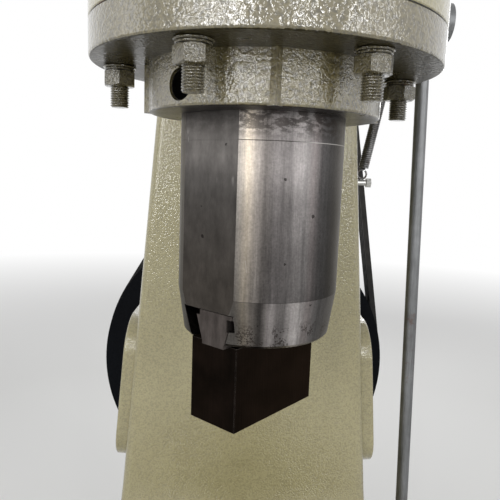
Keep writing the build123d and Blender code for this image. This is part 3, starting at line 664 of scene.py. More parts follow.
        # dark grey flats: painted reflection of dark surroundings, changing in tone with height
        colour = tree.ramp(maps.level, [
            (0.2, 0.047), (0.45, 0.052), (0.64, 0.062), (0.74, 0.087), (0.82, 0.14), (0.9, 0.132),
            (1.0, 0.066),
        ])
        colour = tree.tone(colour, scuff, [(0.3, 0.72), (0.5, 1.0), (0.72, 1.3)])
        colour = tree.tone(colour, maps.blotch, [(0.32, 0.85), (0.68, 1.15)])
        colour = tree.tone(colour, maps.level, [(0.25, (1.12, 0.98, 0.86)), (0.7, (1.05, 0.98, 0.93))])
        shine = tree.ramp(tree.noise(120.0, 2.0, 0.6, stretch=(1.0, 1.0, 0.3)), [(0.66, 0.0), (0.76, 0.5)])
        high = tree.ramp(maps.level, [(0.68, 0.0), (0.78, 1.0), (0.9, 1.0), (0.94, 0.0)])
        return tree.mix(tree.times(shine, high), colour, self.rubbed)

    def oiled(self, tree: NodeTree, maps: RamMaps, colour: Socket) -> Socket:
        """Oil and scale under the guide.

        Args:
            tree: Material that they are for.
            maps: The shared patterns.
            colour: Colour to stain.

        Returns:
            The stained colour.
        """
        edge = tree.ramp(tree.times(maps.level, 0.5), [(0.44, 0.0), (0.465, 0.8), (0.5, 1.0), (0.52, 0.0)])
        smear = tree.noise(75.0, 5.0, 0.7, stretch=(1.0, 1.0, 2.4))
        stain = tree.times(tree.ramp(smear, [(0.42, 0.0), (0.54, 0.9)]), edge)
        stain = tree.times(stain, tree.minus(1.0, tree.times(maps.flat, 0.7)))
        return tree.mix(stain, colour, self.oil)

    def pitted(self, tree: NodeTree, maps: RamMaps, colour: Socket) -> tuple[Socket, Socket]:
        """Scattered pits, rust specks near the lower edge, and scratches on the round sides.

        Args:
            tree: Material that they are for.
            maps: The shared patterns.
            colour: Colour to mark.

        Returns:
            The marked colour, and where the pits are.
        """
        pits = tree.pits(38.0, 0.075, 0.45)
        pits = tree.larger(pits, tree.times(tree.below(maps.level, 0.2), tree.pits(120.0, 0.12, 0.9)))
        colour = tree.mix(tree.times(pits, 0.8), colour, self.pit)
        specks = tree.ramp(tree.noise(480.0, 3.0, 0.7), [(0.49, 0.0), (0.54, 0.85)])
        rusty = tree.above(tree.noise(48.0, 3.0, 0.6), 0.5)
        rusty = tree.times(rusty, tree.ramp(maps.level, [(0.07, 1.0), (0.13, 0.0)]))
        colour = tree.mix(tree.times(specks, rusty), colour, self.rust)
        scratch = tree.times(tree.hairlines(20.0, 0.003, 0.6), tree.minus(1.0, maps.flat))
        return tree.mix(tree.times(scratch, 0.2), colour, self.scratched), pits

    def make(self) -> Material:
        """Build the material.

        Returns:
            The material.
        """
        tree = NodeTree(self.name)
        maps = self.maps(tree)
        colour, scribe = self.turned_lines(tree, maps, self.round_sides(tree, maps))
        colour = self.oiled(tree, maps, tree.mix(maps.flat, colour, self.flats(tree, maps)))
        colour, pits = self.pitted(tree, maps, colour)
        rough = tree.mix(maps.flat, tree.ramp(maps.streaks, [(0.3, 0.3), (0.7, 0.42)]), (0.5, 0.5, 0.5))
        relief = tree.plus(tree.times(maps.grain, 0.3), tree.times(maps.lines, 0.3))
        relief = tree.minus(relief, tree.larger(pits, scribe))
        tree.shader.inputs["Specular Tint"].default_value = (*self.mirror_tint, 1.0)
        return tree.finish(colour, rough, 1.0, tree.bump(relief, self.relief))


@dataclass(frozen=True)
class DieSteel:
    """Hardened die: black scale with a brown cast, rubbed edges that also carry a painted highlight, and a
    bare ground tongue.
    """

    name: str
    bare_above: float | None = None
    colour: Colour = (0.0034, 0.0025, 0.0019)
    # colour of the rubbed edges, partly real wear and partly a painted highlight
    brown: Colour = (0.0085, 0.0055, 0.0042)
    edge: Colour = (0.09, 0.078, 0.07)
    bare: tuple[Colour, Colour] = ((0.076, 0.066, 0.061), (0.068, 0.058, 0.054))
    mirror_tint: Colour = (0.62, 0.53, 0.47)
    gloss: float = 0.1
    metal: float = 0.8
    worn_edge: float = 1.3 * MM
    relief: float = 0.08 * MM

    def make(self) -> Material:
        """Build the material.

        Returns:
            The material.
        """
        tree = NodeTree(self.name)
        cloud = tree.noise(28.0, 4.0, 0.6)
        milled = tree.noise(520.0, 2.0, 0.5, stretch=(1.0, 1.0, 0.05))
        colour = tree.mix(tree.ramp(cloud, [(0.4, 0.0), (0.72, 1.0)]), self.colour, self.brown)
        colour = tree.tone(colour, milled, [(0.3, 0.8), (0.7, 1.25)])
        if self.bare_above is not None:
            smear = tree.noise(90.0, 4.0, 0.6, stretch=(1.0, 1.0, 0.5))
            ground = tree.tone(tree.mix(cloud, *self.bare), milled, [(0.3, 0.92), (0.7, 1.08)])
            ground = tree.tone(ground, smear, [(0.3, 0.72), (0.5, 1.0), (0.7, 1.35)])
            colour = tree.mix(tree.above(tree.split()[2], self.bare_above), colour, ground)
        # lighter edges: partly real wear, partly a painted highlight
        rub = tree.times(tree.wear(self.worn_edge), tree.noise(160.0, 3.0, 0.6))
        colour = tree.mix(tree.ramp(rub, [(0.22, 0.0), (0.45, 0.85)]), colour, self.edge)
        rough = tree.ramp(cloud, [(0.3, 0.3), (0.7, 0.48)])
        tree.shader.inputs["Specular IOR Level"].default_value = self.gloss
        tree.shader.inputs["Specular Tint"].default_value = (*self.mirror_tint, 1.0)
        return tree.finish(colour, rough, self.metal, tree.bump(milled, self.relief))


@dataclass(frozen=True)
class CastIron:
    """Rough cast iron with brown stains, machined above a level where it meets other pieces."""

    name: str
    machined_above: float
    colour: Colour = (0.085, 0.08, 0.074)
    stain: Colour = (0.075, 0.055, 0.042)
    machined: tuple[Colour, Colour] = ((0.26, 0.25, 0.24), (0.34, 0.32, 0.3))
    metal: float = 0.85
    worn_edge: float = 2.5 * MM
    relief: float = 0.5 * MM

    def make(self) -> Material:
        """Build the material.

        Returns:
            The material.
        """
        tree = NodeTree(self.name)
        skin = tree.noise(150.0, 4.0, 0.6)
        colour = tree.ramp(tree.noise(16.0, 4.0, 0.6), [(0.3, self.colour), (0.7, self.stain)])
        colour = tree.tone(colour, skin, [(0.3, 0.75), (0.7, 1.2)])
        top = tree.above(tree.split()[2], self.machined_above)
        cut = tree.noise(380.0, 2.0, 0.5, stretch=(0.05, 1.0, 1.0))
        colour = tree.mix(top, colour, tree.mix(cut, *self.machined))
        rub = tree.times(tree.wear(self.worn_edge), tree.noise(90.0, 4.0, 0.7))
        colour = tree.mix(tree.ramp(rub, [(0.3, 0.0), (0.6, 0.8)]), colour, self.machined[1])
        rough = tree.mix(top, (0.62, 0.62, 0.62), (0.38, 0.38, 0.38))
        return tree.finish(colour, rough, self.metal, tree.bump(skin, self.relief, 0.6))


@dataclass(frozen=True)
class Rubber:
    """Black belt rubber with a woven cover and dust."""

    name: str
    threads: float = 320.0
    cover: Colour = (0.03, 0.03, 0.031)
    dusty: tuple[Colour, Colour] = ((0.014, 0.014, 0.015), (0.05, 0.047, 0.043))
    rough: float = 0.72
    relief: float = 0.2 * MM

    def make(self) -> Material:
        """Build the material.

        Returns:
            The material.
        """
        tree = NodeTree(self.name)
        weave = tree.add("ShaderNodeTexWave", wave_type="BANDS", bands_direction="DIAGONAL")
        weave.inputs["Scale"].default_value = self.threads
        weave.inputs["Distortion"].default_value = 0.6
        tree.links.new(tree.place, weave.inputs["Vector"])
        woven = weave.outputs["Fac"]
        dust = tree.ramp(tree.noise(30.0, 4.0, 0.6), [(0.35, self.dusty[0]), (0.75, self.dusty[1])])
        colour = tree.mix(tree.times(woven, 0.35), dust, self.cover)
        return tree.finish(colour, self.rough, 0.0, tree.bump(woven, self.relief, 0.6))


@dataclass
class Finishes:
    """Every finish of the hammer, made once, with the levels where finishes change."""

    olive: Colour = (0.325, 0.29, 0.155)
    olive_shade: Colour = (0.3, 0.266, 0.139)
    bare_rim: float = 0.4 * MM
    fine_drop: float = 36.5 * MM
    taper_h: float = 50.0 * MM
    scribe_drop: float = 28.0 * MM
    flat_azimuth: float = math.radians(-131.2)
    flat_offset: float = 81.95 * MM
    tongue_drop: float = 3.5 * MM
    machined_t: float = 0.5 * MM

    def __post_init__(self) -> None:
        """Make the materials."""
        self.make_paints()
        self.make_ram_and_dies()
        self.make_small_steels()
        self.rubber = Rubber("belt_rubber").make()

    def make_paints(self) -> None:
        """Machine paint, its darker, wetter-looking copies on the guide and the nuts, darkened as painted
        shade, and the paint of wheel and motor.
        """
        low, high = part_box("ram_guide")
        self.paint = Paint("olive_cream_paint", self.olive, self.olive_shade, coat=1.0).make()
        # the guide's paint: the machine paint darkened as painted shade, with more painted shade on faces
        # that look down
        self.shaded_guide_paint = Paint(
            "olive_cream_paint_guide", (0.125, 0.103, 0.042), (0.1, 0.082, 0.033), peel_scale=280.0,
            peel_depth=0.7 * MM, swirl=0.6, peel_shade=0.4, coat=1.0, coat_ior=1.8, coat_rough=0.05, under=0.28,
            bare_below=low.z + self.bare_rim, fine_below=high.z - self.fine_drop,
        ).make()
        # the nuts' paint: the machine paint darkened further as painted shade
        self.shaded_nut_paint = Paint(
            "olive_cream_paint_nuts", (0.08, 0.067, 0.032), (0.058, 0.049, 0.024), peel_scale=480.0,
            peel_depth=0.7 * MM, peel_shade=0.4, rough=0.24, coat=1.0,
        ).make()
        self.black = Paint(
            "flywheel_black", (0.0028, 0.0034, 0.005), (0.004, 0.005, 0.007), peel_scale=150.0,
            peel_depth=0.4 * MM, rough=0.42, coat=0.0, gloss=0.05, chips=0.42,
        ).make()
        self.motor = Paint(
            "motor_grey_blue", (0.115, 0.15, 0.185), (0.09, 0.12, 0.15), peel_scale=320.0,
            peel_depth=0.4 * MM, rough=0.36, coat=0.25,
        ).make()

    def make_ram_and_dies(self) -> None:
        """Ground steel of the ram, scale of the dies, and iron of the anvil."""
        guide_z, ram_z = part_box("ram_guide")[0].z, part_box("ram")[0].z
        self.ram = RamSteel(
            "ram_ground_steel", self.flat_azimuth, self.flat_offset, low_z=ram_z,
            taper_z=ram_z + self.taper_h, scribe_z=guide_z - self.scribe_drop, top_z=guide_z,
        ).make()
        self.die = DieSteel("hardened_die_steel").make()
        self.upper_die = DieSteel("hardened_upper_die_steel", ram_z - self.tongue_drop).make()
        self.iron = CastIron("anvil_cast_iron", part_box("anvil_block")[1].z - self.machined_t).make()

    def make_small_steels(self) -> None:
        """Steel of the wedges, shafts, linkage, screws, washers and spring."""
        self.wedge = Steel("milled_wedge_steel", (0.12, 0.102, 0.096), (0.08, 0.07, 0.066), rust=0.1).make()
        self.bright = Steel("turned_steel", (0.48, 0.47, 0.46), (0.36, 0.35, 0.34), rust=0.06).make()
        self.zinc = Steel("zinc_plate", (0.62, 0.62, 0.6), (0.5, 0.5, 0.48), rough=0.3, rust=0.0).make()
        self.spring = Steel("spring_wire", (0.2, 0.2, 0.2), (0.12, 0.115, 0.11), rough=0.36).make()
        self.linkage = Steel(
            "drawn_bar_steel", (0.22, 0.225, 0.23), (0.155, 0.158, 0.16), rough=0.42, rust=0.1,
        ).make()
        self.washer = Steel(
            "blackened_washer_steel", (0.05, 0.048, 0.045), (0.03, 0.028, 0.027), rough=0.45,
        ).make()


def axis_frame(origin: Vector, axis: Vector, spin: float = 0.0) -> Matrix:
    """Frame at an origin in metres, with its Z along an axis and turned about it by a spin in radians."""
    turn = axis.normalized().to_track_quat("Z", "Y").to_matrix().to_4x4()
    return Matrix.Translation(origin) @ turn @ Matrix.Rotation(spin, 4, "Z")


def on_circle(radius: float, angle: float) -> Vector:
    """Point of a circle in the local X-Y plane, at an angle in radians."""
    return Vector((radius * math.cos(angle), radius * math.sin(angle), 0.0))


def around_ram(radius: float, azimuth: float, z: float) -> Vector:
    """Point round the ram's axis, at an azimuth in degrees from the front towards the right."""
    a = math.radians(azimuth)
    return Vector((radius * math.sin(a), -radius * math.cos(a), z))


class Shape:
    """One mesh gathered from turned, extruded and swept bits."""

    def __init__(self) -> None:
        """Start with an empty mesh."""
        self.mesh = bmesh.new()

    def rings(self, rings: list[list[Vector]], at: Matrix, capped: bool = True) -> None:
        """Join rings of points by quads.

        Args:
            rings: Closed rings with as many points each.
            at: Place of the rings.
            capped: Whether a face closes the first and the last ring. Otherwise the two are the same ring.
        """
        rows = [[self.mesh.verts.new(at @ p) for p in ring] for ring in rings]
        count = len(rows[0])
        for low, high in zip(rows, rows[1:]):
            for i in range(count):
                j = (i + 1) % count
                self.mesh.faces.new((low[i], low[j], high[j], high[i]))
        if capped:
            self.mesh.faces.new(rows[0][::-1])
            self.mesh.faces.new(rows[-1])
        else:
            bmesh.ops.remove_doubles(self.mesh, verts=self.mesh.verts, dist=MERGE)

    def turned(self, profile: list[Point], at: Matrix, segments: int = 48, closed: bool = False) -> None:
        """Turn a profile about the local Z axis.

        Args:
            profile: Radius and height of each point, in metres.
            at: Place of the axis.
            segments: Number of sides.
            closed: Whether the profile is a loop, as for a ring.
        """
        rings = []
        for radius, height in profile + profile[:1] if closed else profile:
            rings.append([on_circle(radius, TURN * i / segments) + UP * height for i in range(segments)])
        self.rings(rings, at, capped=not closed)

    def washer(self, span: Point, heights: Point, at: Matrix, segments: int = 48, edge: float = 0.0) -> None:
        """Flat ring, with a chamfer on both outer edges.

        Args:
            span: Inner and outer radius, in metres.
            heights: Heights of its two faces, in metres.
            at: Place of the axis.
            segments: Number of sides.
            edge: Width of the chamfers.
        """
        (inner, outer), (low, high) = span, heights
        rim = [(outer, low), (outer, high)]
        if edge:
            rim = [(outer - edge, low), (outer, low + edge), (outer, high - edge), (outer - edge, high)]
        self.turned([(inner, low), *rim, (inner, high)], at, segments, closed=True)

    def hexagon(self, flats: float, height: float, at: Matrix, bore: float = 0.0, both: bool = True) -> None:
        """Six-sided nut or bolt head with turned chamfers at its corners.

        Args:
            flats: Width across the flats, in metres.
            height: Height, in metres.
            at: Place of its seat, with local X through a corner.
            bore: Radius of the hole, or 0 for a bolt head.
            both: Whether both ends are chamfered.
        """
        count, lean, seat_r = 72, math.tan(math.radians(30.0)), 0.475 * flats
        inner = bore if bore else 0.2 * flats
        rings: list[list[Vector]] = [[] for _ in range(6)]
        for i in range(count):
            a = TURN * i / count
            within = (math.degrees(a) % 60.0) - 30.0
            corner_r = flats / 2 / math.cos(math.radians(within))
            drop = max(0.0, corner_r - seat_r) * lean
            heights = (0.0, 0.0, drop if both else 0.0, height - drop, height, height)
            for ring, r, z in zip(rings, (inner, seat_r, corner_r, corner_r, seat_r, inner), heights):
                ring.append(on_circle(r, a) + UP * z)
        if bore:
            rings.append([p.copy() for p in rings[0]])
        self.rings(rings, at, capped=not bore)

    def thread(self, radius: float, pitch: float, length: float, at: Matrix,
               chamfer: float = 1.5 * MM) -> None:
        """Threaded bar end, closed at both ends.

        Args:
            radius: Outer radius, in metres.
            pitch: Rise of one turn, in metres.
            length: Length, in metres.
            at: Place of its inner end, with the free end up.
            chamfer: Height of the chamfer at the free end.
        """
        sides, rows, depth, flank, crest = 36, 8, 0.58 * pitch, 3.6, 1.25
        rings = []
        for j in range(int(rows * length / pitch) + 1):
            z = min(j * pitch / rows, length)
            limit = radius - max(0.0, z - (length - chamfer))
            ring = []
            for i in range(sides):
                phase = (z / pitch - i / sides) % 1.0
                groove = min(1.0, max(0.0, crest - abs(phase - 0.5) * flank))
                ring.append(on_circle(min(limit, radius - depth * groove), TURN * i / sides) + UP * z)
            rings.append(ring)
        self.rings(rings, at)

    def tube(self, points: list[Vector], radius: float, sides: int = 8) -> None:
        """Round wire along a line of points.

        Args:
            points: Points of the wire's middle, in metres.
            radius: Radius of the wire.
            sides: Number of sides.
        """
        rings = []
        side = (points[1] - points[0]).orthogonal().normalized()
        for i, point in enumerate(points):
            along = (points[min(i + 1, len(points) - 1)] - points[max(i - 1, 0)]).normalized()
            side = (side - along * side.dot(along)).normalized()
            up = along.cross(side)
            around = (on_circle(radius, TURN * k / sides) for k in range(sides))
            rings.append([point + side * p.x + up * p.y for p in around])
        self.rings(rings, Matrix.Identity(4))

    def prism(self, outline: list[Point], height: float, at: Matrix, edge: float = 0.0) -> None:
        """Straight piece with an outline and a chamfer round its top.

        Args:
            outline: Points of the outline, counter-clockwise, in metres.
            height: Height, in metres.
            at: Place of its base.
            edge: Width of the chamfer.
        """
        middle = Vector((sum(p[0] for p in outline), sum(p[1] for p in outline), 0.0)) / len(outline)
        rings = []
        for z, inset in ((0.0, 0.0), (height - edge, 0.0), (height, edge)):
            ring = []
            for x, y in outline:
                away = Vector((x, y, 0.0)) - middle
                ring.append(middle + away * (1.0 - inset / away.length) + UP * z)
            rings.append(ring)
        self.rings(rings, at)

    def piece(self, name: str, body: Body | None, material: Material, slot: Slot) -> bpy.types.Object:
        """Make the gathered mesh a piece that rides on a body.

        Args:
            name: Name of the piece.
            body: Body that carries it, or None to leave it on no body.
            material: Its finish.
            slot: Material slot of the record; not used.

        Returns:
            The piece.
        """
        bmesh.ops.recalc_face_normals(self.mesh, faces=self.mesh.faces)
        data = bpy.data.meshes.new(name)
        self.mesh.to_mesh(data)
        self.mesh.free()
        data.materials.append(material)
        data.shade_smooth()
        data.set_sharp_from_angle(angle=SMOOTH_ANGLE)
        piece = bpy.data.objects.new(name, data)
        bpy.context.scene.collection.objects.link(piece)
        if body is not None:
            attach(piece, body.value)
        log.info("%s: %d faces", name, len(data.polygons))
        return piece


@dataclass(frozen=True)
class Fastener:
    """Hexagon bolt head with a washer."""

    flats: float
    head: float
    washer_r: float
    washer_t: float

    def add(self, shape: Shape, at: Matrix) -> None:
        """Add one bolt head, seated at a frame with its Z out of the seat.

        Args:
            shape: Mesh to add it to.
            at: Frame of the seat.
        """
        r, t = self.washer_r, self.washer_t
        profile = [(r * 0.4, 0.0), (r, 0.0), (r, t * 0.7), (r - t * 0.3, t), (r * 0.4, t)]
        shape.turned(profile, at, segments=36)
        shape.hexagon(self.flats, self.head, at @ Matrix.Translation(UP * t), both=False)


M8 = Fastener(13.0 * MM, 5.3 * MM, 8.0 * MM, 1.6 * MM)
M10 = Fastener(16.0 * MM, 6.4 * MM, 10.0 * MM, 2.0 * MM)
M12 = Fastener(18.0 * MM, 7.5 * MM, 12.0 * MM, 2.5 * MM)
M16 = Fastener(24.0 * MM, 10.0 * MM, 15.0 * MM, 3.0 * MM)


@dataclass(frozen=True)
class BoltCircle:
    """Ring of equal bolt heads on one face of the frame."""

    name: str
    fastener: Fastener
    radius: float
    count: int
    first: float
    turn_each: float = 0.7

    def build(self, centre: Vector, axis: Vector, material: Material) -> None:
        """Make the ring as one piece.

        Args:
            centre: Middle of the ring, on the seat.
            axis: Direction out of the seat.
            material: Finish of the bolts.
        """
        shape = Shape()
        base = axis_frame(centre, axis)
        for i in range(self.count):
            a = math.radians(self.first + 360.0 / self.count * i)
            place = base @ Matrix.Translation(on_circle(self.radius, a))
            self.fastener.add(shape, place @ Matrix.Rotation(self.turn_each * i, 4, "Z"))
        shape.piece(self.name, Body.FRAME, material, Slot.PAINT)


@dataclass
class RamGuide:
    """Guide flange with its studs, nuts, washers, gasket, painted shade in the gaps of its washers and
    painted shade in its oil hole.
    """

    finishes: Finishes
    pitch_r: float = 158.5 * MM
    stud_angles: tuple[float, ...] = (-90.1, -24.3, 34.1, 100.3, 155.0, -150.0)
    nut_spins: tuple[float, ...] = (19.0, 53.0, 50.0, 26.0, 10.0, 40.0)
    nut_flats: float = 31.4 * MM
    nut_h: float = 16.5 * MM
    nut_play: float = 0.5 * MM
    stud_r: float = 10.0 * MM
    stud_end: float = 44.3 * MM
    pitch: float = 2.5 * MM
    flat_washer_r: float = 17.6 * MM
    flat_washer_t: float = 2.6 * MM
    spring_washer_r: float = 16.2 * MM
    washers_t: float = 5.5 * MM
    washer_play: float = 0.6 * MM
    washer_edge: float = 0.7 * MM
    joint_r: float = 15.0 * MM
    joint_t: float = 0.35 * MM
    flange_t: float = 36.0 * MM
    gasket_span: Point = (120.0 * MM, 185.3 * MM)
    gasket_t: float = 1.0 * MM
    hole_azimuth: float = -41.2
    hole_r: float = 14.8 * MM
    hole_bottom: float = 97.6 * MM
    hole_rise: float = 20.0 * MM
    hole_depth: float = 24.0 * MM
    # wall of the black cup that paints shade in the oil hole
    shade_cup_t: float = 0.8 * MM

    def __post_init__(self) -> None:
        """Take the guide's levels and set a frame with Z down on each stud's seat."""
        low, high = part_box("ram_guide")
        self.low_z, self.high_z = low.z, high.z
        self.seats = [
            axis_frame(around_ram(self.pitch_r, azimuth, high.z - self.flange_t), DOWN, math.radians(spin))
            for azimuth, spin in zip(self.stud_angles, self.nut_spins)
        ]

    def make_studs(self) -> None:
        """Studs with their bare threads below the nuts."""
        shape = Shape()
        for seat in self.seats:
            shape.thread(self.stud_r, self.pitch, self.stud_end, seat)
        shape.piece("guide_studs", Body.FRAME, self.finishes.shaded_nut_paint, Slot.PAINT)

    def make_nuts(self) -> None:
        """Hexagon nuts."""
        shape = Shape()
        for seat in self.seats:
            place = seat @ Matrix.Translation(UP * self.washers_t)
            shape.hexagon(self.nut_flats, self.nut_h, place, bore=self.stud_r - self.nut_play)
        shape.piece("guide_nuts", Body.FRAME, self.finishes.shaded_nut_paint, Slot.PAINT)

    def make_washers(self) -> None:
        """Flat washer and spring washer above each nut, painted over, with thin dark rings put in the gaps
        between them as painted shade.
        """
        flat, split, joint_shade = Shape(), Shape(), Shape()
        inner, joint, t = self.stud_r + self.washer_play, self.joint_t, self.flat_washer_t
        last = self.washers_t - joint
        for seat in self.seats:
            flat.washer((inner, self.flat_washer_r), (joint, t), seat, edge=self.washer_edge)
            split.washer((inner, self.spring_washer_r), (t + joint, last), seat, edge=self.washer_edge)
            # thin dark rings in the gaps under, between and over the washers: painted shade
            for base in (0.0, t, last):
                joint_shade.washer((inner, self.joint_r), (base, base + joint), seat)
        flat.piece("guide_washers", Body.FRAME, self.finishes.shaded_nut_paint, Slot.PAINT)
        split.piece("guide_spring_washers", Body.FRAME, self.finishes.shaded_nut_paint, Slot.PAINT)
        joint_shade.piece("guide_washer_joint_shade", Body.FRAME, self.finishes.washer, Slot.LINKAGE)

    def make_gasket(self) -> None:
        """Dark gasket in the joint above the flange."""
        shape = Shape()
        half, joint = self.gasket_t / 2, Matrix.Translation(UP * self.high_z)
        shape.washer(self.gasket_span, (-half, half), joint, segments=128)
        shape.piece("guide_gasket", Body.FRAME, self.finishes.washer, Slot.LINKAGE)

    def make_hole_shade(self) -> None:
        """Black cup inside the radial oil hole of the guide's boss, as painted shade in the hole."""
        bottom = around_ram(self.hole_bottom, self.hole_azimuth, self.low_z + self.hole_rise)
        at = axis_frame(bottom, around_ram(1.0, self.hole_azimuth, 0.0))
        r, wall, depth = self.hole_r, self.shade_cup_t, self.hole_depth
        cup = [(CORE_R, 0.0), (r, 0.0), (r, depth), (r - wall, depth), (r - wall, wall), (CORE_R, wall)]
        shape = Shape()
        shape.turned(cup, at, closed=True)
        shape.piece("guide_hole_shade", Body.FRAME, self.finishes.washer, Slot.LINKAGE)

    def build(self) -> None:
        """Make every piece of the guide."""
        self.make_hole_shade()
        self.make_studs()
        self.make_nuts()
        self.make_washers()
        self.make_gasket()


@dataclass
class Castings:
    """Bolts on the covers, caps, flanges and bearing of the castings."""

    finishes: Finishes
    cover_rim_t: float = 22.0 * MM
    cover_bolt_r: float = 148.0 * MM
    cap_bolt_r: float = 49.0 * MM
    cap_t: float = 18.0 * MM
    valve_y: float = 215.0 * MM
    valve_x: float = 170.0 * MM
    valve_zs: tuple[tuple[str, float], ...] = (("lower", 1560.0 * MM), ("upper", 1840.0 * MM))
    flange_t: float = 40.0 * MM
    flange_bolt_x: float = 140.0 * MM
    flange_bolt_ys: tuple[float, ...] = (310.0 * MM, 415.0 * MM, 520.0 * MM, 620.0 * MM)
    flange_bolt_turn: float = 0.5
    guide_screw_r: float = 167.5 * MM
    guide_screw_azimuths: tuple[float, ...] = (-90.1, -24.3, 34.1)
    flank_lean: float = math.atan(42.6 / 514.0)
    side_screw_y: float = 119.0 * MM
    side_screw_up: float = 104.0 * MM
    side_screw_inset: float = 4.0 * MM
    side_screw: tuple[Point, ...] = (
        (0.8 * MM, 0.0), (7.5 * MM, 0.0), (7.5 * MM, 0.3 * MM), (7.1 * MM, 0.6 * MM),
        (3.4 * MM, 0.6 * MM), (3.0 * MM, 0.2 * MM), (0.8 * MM, 0.2 * MM),
    )
    foot_t: float = 28.0 * MM
    foot_bolt_r: float = 127.5 * MM
    bearing_cap_bolt_r: float = 96.5 * MM

    def __post_init__(self) -> None:
        """Take the level of the upper casting's flange."""
        self.flange_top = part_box("ram_guide")[1].z + self.flange_t

    def make_cover_bolts(self) -> None:
        """Bolts round the two cylinder covers."""
        for node in ("work_cylinder_cover", "compressor_cover"):
            low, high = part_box(node)
            centre = Vector(((low.x + high.x) / 2, (low.y + high.y) / 2, low.z + self.cover_rim_t))
            ring = BoltCircle(f"{node}_bolts", M16, self.cover_bolt_r, count=8, first=22.5)
            ring.build(centre, UP, self.finishes.shaded_nut_paint)

    def make_valve_bolts(self) -> None:
        """Bolts on the caps over the valve bores and on the gland."""
        for side in Side:
            for name, z in self.valve_zs:
                centre = Vector((side * (self.valve_x + self.cap_t), self.valve_y, z))
                label = f"valve_cap_bolts_{side.name.lower()}_{name}"
                ring = BoltCircle(label, M10, self.cap_bolt_r, count=4, first=45.0)
                ring.build(centre, Vector((side, 0.0, 0.0)), self.finishes.shaded_nut_paint)

    def make_flange_bolts(self) -> None:
        """Bolts through the upper casting's flange into the column."""
        shape = Shape()
        for side in Side:
            for i, y in enumerate(self.flange_bolt_ys):
                place = Matrix.Translation((side * self.flange_bolt_x, y, self.flange_top))
                M16.add(shape, place @ Matrix.Rotation(self.flange_bolt_turn * i, 4, "Z"))
        shape.piece("upper_casting_bolts", Body.FRAME, self.finishes.shaded_nut_paint, Slot.PAINT)

    def make_guide_screws(self) -> None:
        """Screws of the guide above the upper casting's flange, clear of the cylinder wall."""
        shape = Shape()
        for azimuth in self.guide_screw_azimuths:
            M12.add(shape, Matrix.Translation(around_ram(self.guide_screw_r, azimuth, self.flange_top)))
        shape.piece("guide_flange_screws", Body.FRAME, self.finishes.shaded_nut_paint, Slot.PAINT)

    def make_side_cover_screws(self) -> None:
        """Flush screws in the inspection covers of the two flanks."""
        for side in Side:
            node = f"side_cover_{side.name.lower()}"
            low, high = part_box(node)
            out = Vector((side * math.cos(self.flank_lean), 0.0, math.sin(self.flank_lean)))
            up = Vector((-side * math.sin(self.flank_lean), 0.0, math.cos(self.flank_lean)))
            centre = (low + high) / 2
            face = Vector((high.x if side is Side.RIGHT else low.x, centre.y, low.z))
            centre += out * (face - centre).dot(out)
            shape = Shape()
            for v, u in ((-1, -1), (-1, 0), (-1, 1), (0, -1), (0, 1), (1, -1), (1, 0), (1, 1)):
                inset = self.side_screw_inset if u and v else 0.0
                place = up * (v * (self.side_screw_up - inset)) + BACK * (u * (self.side_screw_y - inset))
                at = axis_frame(centre + place, out)
                shape.turned(list(self.side_screw), at, segments=36, closed=True)
            shape.piece(f"{node}_screws", Body.FRAME, self.finishes.zinc, Slot.ZINC)

    def make_bearing_bolts(self) -> None:
        """Bolts of the bearing's foot and cap."""
        low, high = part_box("bearing_cap")
        axis_z = (low.z + high.z) / 2
        foot_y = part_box("rear_bearing_housing")[0].y + self.foot_t
        foot = BoltCircle("bearing_foot_bolts", M12, self.foot_bolt_r, count=6, first=30.0)
        foot.build(Vector((0.0, foot_y, axis_z)), BACK, self.finishes.shaded_nut_paint)
        cap = BoltCircle("bearing_cap_bolts", M8, self.bearing_cap_bolt_r, count=6, first=30.0)
        cap.build(Vector((0.0, high.y, axis_z)), BACK, self.finishes.shaded_nut_paint)

    def build(self) -> None:
        """Make every set of bolts."""
        self.make_cover_bolts()
        self.make_valve_bolts()
        self.make_flange_bolts()
        self.make_guide_screws()
        self.make_side_cover_screws()
        self.make_bearing_bolts()


